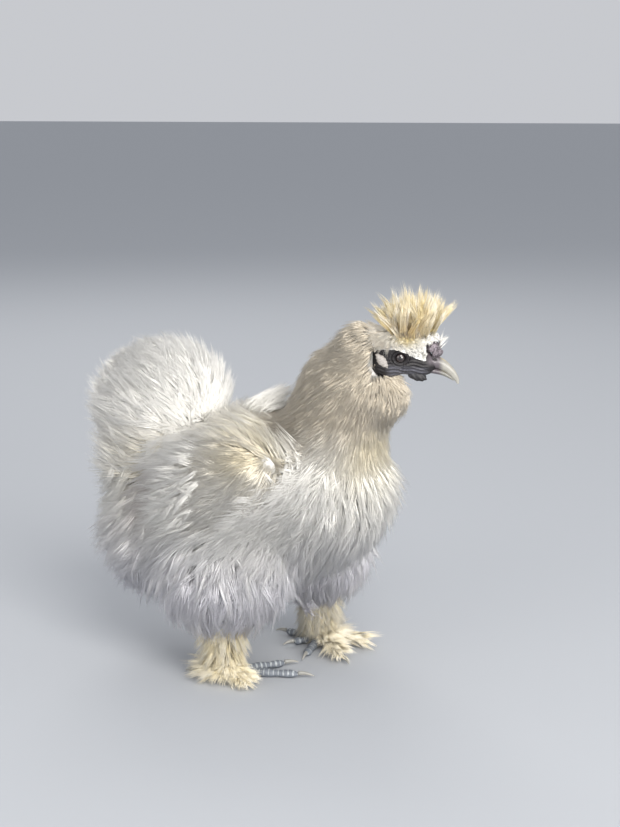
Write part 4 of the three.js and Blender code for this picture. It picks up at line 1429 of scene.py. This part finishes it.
@dataclass
class Studio:
    """Pale floor, soft lights and the camera at the photograph's angle."""

    camera_at: tuple[float, float, float] = (446.174, -1140.13, 470.0)
    azimuth: float = 20.0
    dip: float = 11.6
    focal_pixels: float = 1500.0
    picture_height: int = 827
    sensor: float = 36.0
    looked_at: tuple[float, float, float] = (0.0, 0.0, 0.16)
    floor_grey: tuple[float, float, float, float] = (0.42, 0.44, 0.47, 1.0)
    sky: tuple[float, float, float, float] = (0.93, 0.95, 1.0, 1.0)
    sky_strength: float = 0.62
    lamp_colour: tuple[float, float, float] = (1.0, 0.97, 0.93)

    def build(self) -> None:
        """Make all of it."""
        self.floor()
        self.lights()
        self.camera()

    def floor(self) -> None:
        """A wide, plain, pale floor."""
        bm = bmesh.new()
        bmesh.ops.create_grid(bm, x_segments=4, y_segments=4, size=40.0)
        mesh = bpy.data.meshes.new("floor")
        bm.to_mesh(mesh)
        bm.free()
        floor = bpy.data.objects.new("floor", mesh)
        bpy.context.scene.collection.objects.link(floor)
        material = bpy.data.materials.new("floor_paint")
        material.use_nodes = True
        shader = material.node_tree.nodes["Principled BSDF"]
        shader.inputs["Base Color"].default_value = self.floor_grey
        shader.inputs["Roughness"].default_value = 0.9
        mesh.materials.append(material)

    def lights(self) -> None:
        """Even light from all round, and four large soft lamps: their sizes in metres, powers in watts."""
        world = bpy.data.worlds.new("studio")
        bpy.context.scene.world = world
        world.use_nodes = True
        background = world.node_tree.nodes["Background"]
        background.inputs["Color"].default_value = self.sky
        background.inputs["Strength"].default_value = self.sky_strength
        for name, at, size, power in (
            ("key", (1.6, -2.0, 2.2), 1.6, 78.0),
            ("fill", (-1.0, -2.4, 0.9), 2.0, 24.0),
            ("low", (1.9, -1.4, 0.35), 1.4, 66.0),
            ("back", (-1.0, 1.8, 2.0), 1.4, 20.0),
        ):
            lamp = bpy.data.lights.new(name, "AREA")
            lamp.size = size
            lamp.energy = power
            lamp.color = self.lamp_colour
            self.aim(name, lamp, at, Vector(self.looked_at) - Vector(at))
        bpy.context.scene.view_settings.view_transform = "Standard"

    def camera(self) -> None:
        """The camera that saw the photograph."""
        lens = bpy.data.cameras.new("camera")
        lens.sensor_width = self.sensor
        lens.lens = self.focal_pixels / self.picture_height * self.sensor
        turn, dip = math.radians(self.azimuth), math.radians(self.dip)
        ahead = Vector((-math.sin(turn) * math.cos(dip), math.cos(turn) * math.cos(dip), -math.sin(dip)))
        bpy.context.scene.camera = self.aim("camera", lens, placed(self.camera_at), ahead)

    @staticmethod
    def aim(name: str, data: bpy.types.ID, at: np.ndarray, ahead: Vector) -> bpy.types.Object:
        """Set up a lamp or camera.

        Args:
            name: the object's name.
            data: the lamp or the camera's lens.
            at: where it stands, in metres.
            ahead: which way it looks.

        Returns:
            The new object.
        """
        holder = bpy.data.objects.new(name, data)
        holder.location = at
        holder.rotation_euler = ahead.to_track_quat("-Z", "Y").to_euler()
        bpy.context.scene.collection.objects.link(holder)
        return holder


SOFT = Strands(14, 0.9, 4.8, 2.8)
LOCK = Strands(14, 0.6, 3.4, 1.1)
SMOOTH = Strands(14, 0.74, 5.2, 4.0, wave=0.6)
PLUME = Strands(14, 0.6, 4.0, 1.8)
CREST = Strands(18, 0.46, 2.9, 1.3, (0.0, 0.35, 0.75, 1.0), (1.0, 0.85), 1.2)
HEAD_DOWN = Strands(7, 0.58, 1.7, 0.9, wave=0.3)
COMB_HAIRS = Strands(5, 0.45, 0.6, 0.5, wave=0.2)
FOOT = Strands(12, 0.58, 3.4, 1.7, wave=1.1, floor=0.4)

# Places inside trunk, neck and tail that their coats spread from, and the ways that they come from
TRUNK_HEART = (-15, 0, 145)
NECK_HEART = (70, -1, 246)
TAIL_HEART = (-92, 0, 200)
CHEST = (0.75, 0, 0.66)
TAIL_LIE = (0.55, 0, -0.8)
WING_LIE = (0.9, 0, 0.42)


def trunk_coats() -> list[Plumage]:
    """The coats of trunk, neck and tail: tufts, lengths, rises and the parts that they cover."""
    return [
        Plumage(
            "trunk", Region.TORSO, TRUNK_HEART, CHEST, 3800, (32, 48), (10, 19), SOFT,
            bias=(-0.15, 0, -0.35), stand=0.3, swing=0.3, seed=101,
        ),
        Plumage(
            "trunk_locks", Region.TORSO, TRUNK_HEART, CHEST, 520, (36, 50), (13, 22), LOCK,
            bias=(-0.15, 0, -0.35), stand=0.3, swing=0.35, whiten=0.5, seed=102,
        ),
        Plume(
            "saddle", Region.TORSO, TRUNK_HEART, CHEST, 90, (34, 46), (20, 41), PLUME,
            low=(-50, -8, 194), high=(-14, 18, 240), whiten=0.8, swing=0.12, seed=103,
        ),
        Plumage(
            "tail_root", Region.TORSO, TRUNK_HEART, CHEST, 240, (34, 46), (10, 18), SOFT,
            low=(-90, -70, 176), high=(-36, 70, 300), stand=0.3, swing=0.35, seed=147,
        ),
        Plumage(
            "rump", Region.TORSO, TRUNK_HEART, CHEST, 300, (36, 48), (18, 27), SOFT,
            low=(-160, -60, 85), high=(-88, 60, 175), bias=(-0.3, 0, -0.2), stand=0.45, cling=0.5,
            swing=0.35, seed=141,
        ),
        Plumage(
            "breast", Region.TORSO, TRUNK_HEART, CHEST, 260, (34, 46), (15, 22), LOCK,
            low=(40, -50, 120), high=(140, 50, 215), bias=(0, 0, -0.6), stand=0.4, cling=0.6,
            swing=0.3, whiten=0.5, seed=143,
        ),
        Plumage(
            "neck", Region.NECK, NECK_HEART, CHEST, 2900, (24, 34), (4, 8), SMOOTH,
            bias=(0, 0, -0.25), stand=0.06, cling=1.0, swing=0.16, seed=104,
        ),
        Plumage(
            "tail", Region.TAIL, TAIL_HEART, TAIL_LIE, 1700, (34, 50), (12, 20), SOFT,
            bias=(-0.2, 0, -0.1), stand=0.45, cling=0.6, swing=0.35, seed=105,
        ),
        Plumage(
            "tail_locks", Region.TAIL, TAIL_HEART, TAIL_LIE, 150, (36, 48), (13, 20), LOCK,
            bias=(-0.3, 0, -0.1), stand=0.45, cling=0.5, swing=0.4, whiten=0.6, seed=106,
        ),
        Plumage(
            "tail_front", Region.TAIL, TAIL_HEART, (1, 0, -0.1), 200, (28, 42), (9, 18), SOFT,
            low=(-88, -60, 160), high=(-40, 60, 240), stand=0.45, cling=0.6, swing=0.6, seed=149,
        ),
        Plumage(
            "tail_skirt", Region.TAIL, (-98, 0, 172), (0.2, 0, 1), 230, (32, 44), (12, 21), SOFT,
            low=(-160, -60, 120), high=(-100, 60, 190), droop=0.5, stand=0.35, cling=0.5, swing=0.35,
            seed=151,
        ),
        Plumage(
            "tail_rear", Region.TAIL, TAIL_HEART, TAIL_LIE, 320, (36, 50), (17, 28), SOFT,
            low=(-160, -60, 130), high=(-105, 60, 225), bias=(-0.5, 0, -0.35), stand=0.5, cling=0.4,
            swing=0.35, seed=145,
        ),
    ]


def side_coats(sign: int, wing: Region, thigh: Region) -> list[Plumage]:
    """The coats of one side.

    Args:
        sign: -1 for the right side and 1 for the left.
        wing: that side's wing.
        thigh: that side's thigh.

    Returns:
        The coats of shoulder, wing and thigh.
    """
    wing_name, thigh_name = wing.value, thigh.value
    thigh_heart = FORMS[thigh].blobs[0].at
    inner, outer = sorted((sign * 36, sign * 99))
    return [
        Plumage(
            wing_name.replace("wing", "shoulder"), Region.TORSO, (40, sign * 40, 200), CHEST, 320, (34, 46),
            (12, 19), SOFT, low=(10, inner, 145), high=(62, outer, 212), bias=(-4.0, 0, -1.2), stand=0.35,
            swing=0.35, seed=131 + sign,
        ),
        Plumage(
            wing_name, wing, (-18, sign * 68, 172), WING_LIE, 600, (26, 40), (5, 11), SOFT,
            bias=(-1.3, 0, -0.6), stand=0.15, cling=0.9, swing=0.3, seed=107 + sign,
        ),
        Plumage(
            wing_name + "_top", wing, (-18, sign * 60, 172), (0.5, 0, 1), 120, (26, 36), (8, 14), SOFT,
            low=(6, -99, 168), high=(60, 99, 240), bias=(-1.1, 0, -0.9), stand=0.3, cling=0.8,
            swing=0.3, seed=153 + sign,
        ),
        Plumage(
            wing_name + "_fringe", wing, (-18, sign * 68, 172), WING_LIE, 170, (28, 40), (14, 24), LOCK,
            low=(-90, -99, 120), high=(-26, 99, 200), bias=(-0.9, 0, -0.35), stand=0.4, cling=0.35,
            swing=0.4, whiten=0.85, seed=111 + sign,
        ),
        Plumage(
            thigh_name, thigh, thigh_heart, (0.1, 0, 1), 800, (32, 46), (8, 16), SOFT,
            droop=0.3, stand=0.3, cling=0.6, swing=0.3, floor=31, seed=115 + sign,
        ),
        Plumage(
            thigh_name + "_locks", thigh, thigh_heart, (0.1, 0, 1), 110, (38, 52), (11, 19), LOCK,
            droop=0.3, stand=0.35, cling=0.6, swing=0.35, floor=27, whiten=0.3, seed=119 + sign,
        ),
    ]


def plumages() -> list[Plumage]:
    """Every coat of the body, in the order in which they are grown."""
    right = side_coats(-1, Region.WING_RIGHT, Region.THIGH_RIGHT)
    left = side_coats(1, Region.WING_LEFT, Region.THIGH_LEFT)
    return trunk_coats() + right + left


@dataclass
class Bird:
    """The whole bird, put together from its skin, coats, face and feet."""

    down: Finish
    face: Finish
    horn: Finish
    wet: Finish
    scale: Finish

    def build(self) -> None:
        """Make every piece."""
        body = BodySkin().mesh()
        head = Head()
        skull = head.skull_mesh()
        self.coats(body)
        self.head_pieces(head, skull)
        self.feet()
        self.skin(body, skull)

    def skin(self, body: bpy.types.Mesh, skull: bpy.types.Mesh) -> None:
        """Join the skin of body, head and feet as one piece."""
        parts = [body, skull]
        for leg in LEGS:
            parts += [leg.pad_mesh(), *(leg.toe_mesh(toe) for toe in leg.toes)]
        for index, mesh in zip([0, 1] + [2] * (len(parts) - 2), parts):
            mesh.polygons.foreach_set("material_index", np.full(len(mesh.polygons), index, np.int32))
        whole = joined(parts, "skin")
        move_vertices(whole, placed(coordinates(whole)))
        whole.shade_smooth()
        nodes = ["head", *(region.value for region in FORMS)]
        nodes += [f"{part}_{leg.side}" for part in ("shank", "foot") for leg in LEGS]
        add_piece(whole, "skin", [self.down, self.face, self.scale], "face_skin", nodes)

    def coats(self, body: bpy.types.Mesh) -> None:
        """Grow the coat of every region, right and left apart where it is large."""
        pool = BodySkin.scatter(body, ROOT_POOL, 7)
        x, y, z = in_head(pool).T
        on_face = (x > np.where(z < 8, -23, -17)) & (z > -15) & (z < 30) & (np.abs(y) < 22)
        hidden = BODY.distance(pool) < -SKIN_DEPTH - 9
        pool = pool[~on_face & ~hidden]
        owner = nearest_region(pool)
        regions = list(FORMS)
        for plumage in plumages():
            mine = plumage.pick(pool[owner == regions.index(plumage.region)])
            slot = "hackle_feather" if plumage.region is Region.NECK else "white_feather"
            for order, part in enumerate(self.parted(mine, plumage.strands.triangles()), start=1):
                name = f"coat_{plumage.label}_{order}"
                mesh = plumage.build(part, name)
                add_piece(mesh, name, [self.down], slot, [plumage.region.value])

    @staticmethod
    def parted(roots: np.ndarray, triangles: int) -> list[np.ndarray]:
        """Share out roots among pieces that each stay small enough to be handled well.

        Args:
            roots: places where tufts grow.
            triangles: what one tuft takes.

        Returns:
            The roots of each piece, in a line along the widest way.
        """
        pieces = math.ceil(len(roots) * triangles / PIECE_TRIANGLES)
        widest = np.argmax(np.ptp(roots, axis=0))
        return np.array_split(roots[np.argsort(roots[:, widest])], pieces)

    def head_pieces(self, head: Head, skull: bpy.types.Mesh) -> None:
        """Bill, comb, lobes, wattles, eyes, crest and the head's short feathers."""
        for upper, name in ((True, "bill_upper"), (False, "bill_lower")):
            self.solid(head.bill_mesh(upper), f"{name}_horn", self.horn, "bill_horn", name)
        self.solid(head.comb_mesh(), "comb_lumps", self.face, "comb_skin", "comb")
        for sign, side in ((-1.0, "right"), (1.0, "left")):
            lobe, wattle = head.lobe_mesh(sign), head.wattle_mesh(sign)
            self.solid(lobe, f"lobe_{side}", self.face, "earlobe_skin", f"earlobe_{side}")
            self.solid(wattle, f"wattle_flap_{side}", self.face, "comb_skin", f"wattle_{side}")
            self.solid(head.eye_mesh(sign), f"eyeball_{side}", self.wet, "eye", f"eye_{side}")
        for mesh, name, slot, node in (
            (head.cap(skull, HEAD_DOWN), "coat_head", "white_feather", "head"),
            (head.crest(CREST), "coat_crest", "crest_feather", "crest"),
            (head.comb_tuft(COMB_HAIRS), "coat_comb_tuft", "white_feather", "comb"),
        ):
            add_piece(mesh, name, [self.down], slot, [node])

    @staticmethod
    def solid(mesh: bpy.types.Mesh, name: str, finish: Finish, slot: str, node: str) -> None:
        """Place a mesh made in millimetres as a piece."""
        move_vertices(mesh, placed(coordinates(mesh)))
        add_piece(mesh, name, [finish], slot, [node])

    def feet(self) -> None:
        """Claws and the feathers of shanks and feet."""
        for leg in LEGS:
            for toe in leg.toes:
                name = f"{leg.side}_{toe.digit}"
                self.solid(leg.claw_mesh(toe), f"nail_{name}", self.horn, "claw_horn", f"claw_{name}")
            guides, ways = leg.feathers(41)
            rng = np.random.default_rng(43)
            roots = guides[:, 0]
            shade = rng.uniform(0, leg.buff, (len(roots), 1))
            tones = mix(FOOT_CREAM, FOOT_BUFF, shade)
            tips = mix(WHITE, FOOT_CREAM, shade + 0.2)
            away = unit(roots - np.array(leg.ball))
            up = np.clip(roots[:, 2] / 75, 0, 1)
            unwrap = unwrapped(share_round(away[:, 1], away[:, 0]), up)
            mesh = FOOT.build(guides, ways, tones, tips, unwrap, rng, "foot_coat")
            nodes = [f"shank_{leg.side}", f"foot_{leg.side}"]
            add_piece(mesh, f"coat_foot_{leg.side}", [self.down], "foot_feather", nodes)


def main() -> None:
    """Build the studio and the bird."""
    logging.basicConfig(level=logging.INFO, format="%(name)s %(message)s")
    Studio().build()
    bird = Bird(
        down=Finish("silky_down", 0.85, 0.06, 400.0, sheen=0.25),
        face=Finish("bare_skin", 0.55, 0.25, 700.0, bump=0.25),
        horn=Finish("pale_horn", 0.35, 0.12, 260.0, bump=0.05, coat=0.15),
        wet=Finish("wet_eye", 0.08, 0.0, 50.0, coat=1.0),
        scale=Finish("toe_scales", 0.6, 0.2, 600.0, bump=0.12),
    )
    bird.build()


if __name__ == "__main__":
    main()
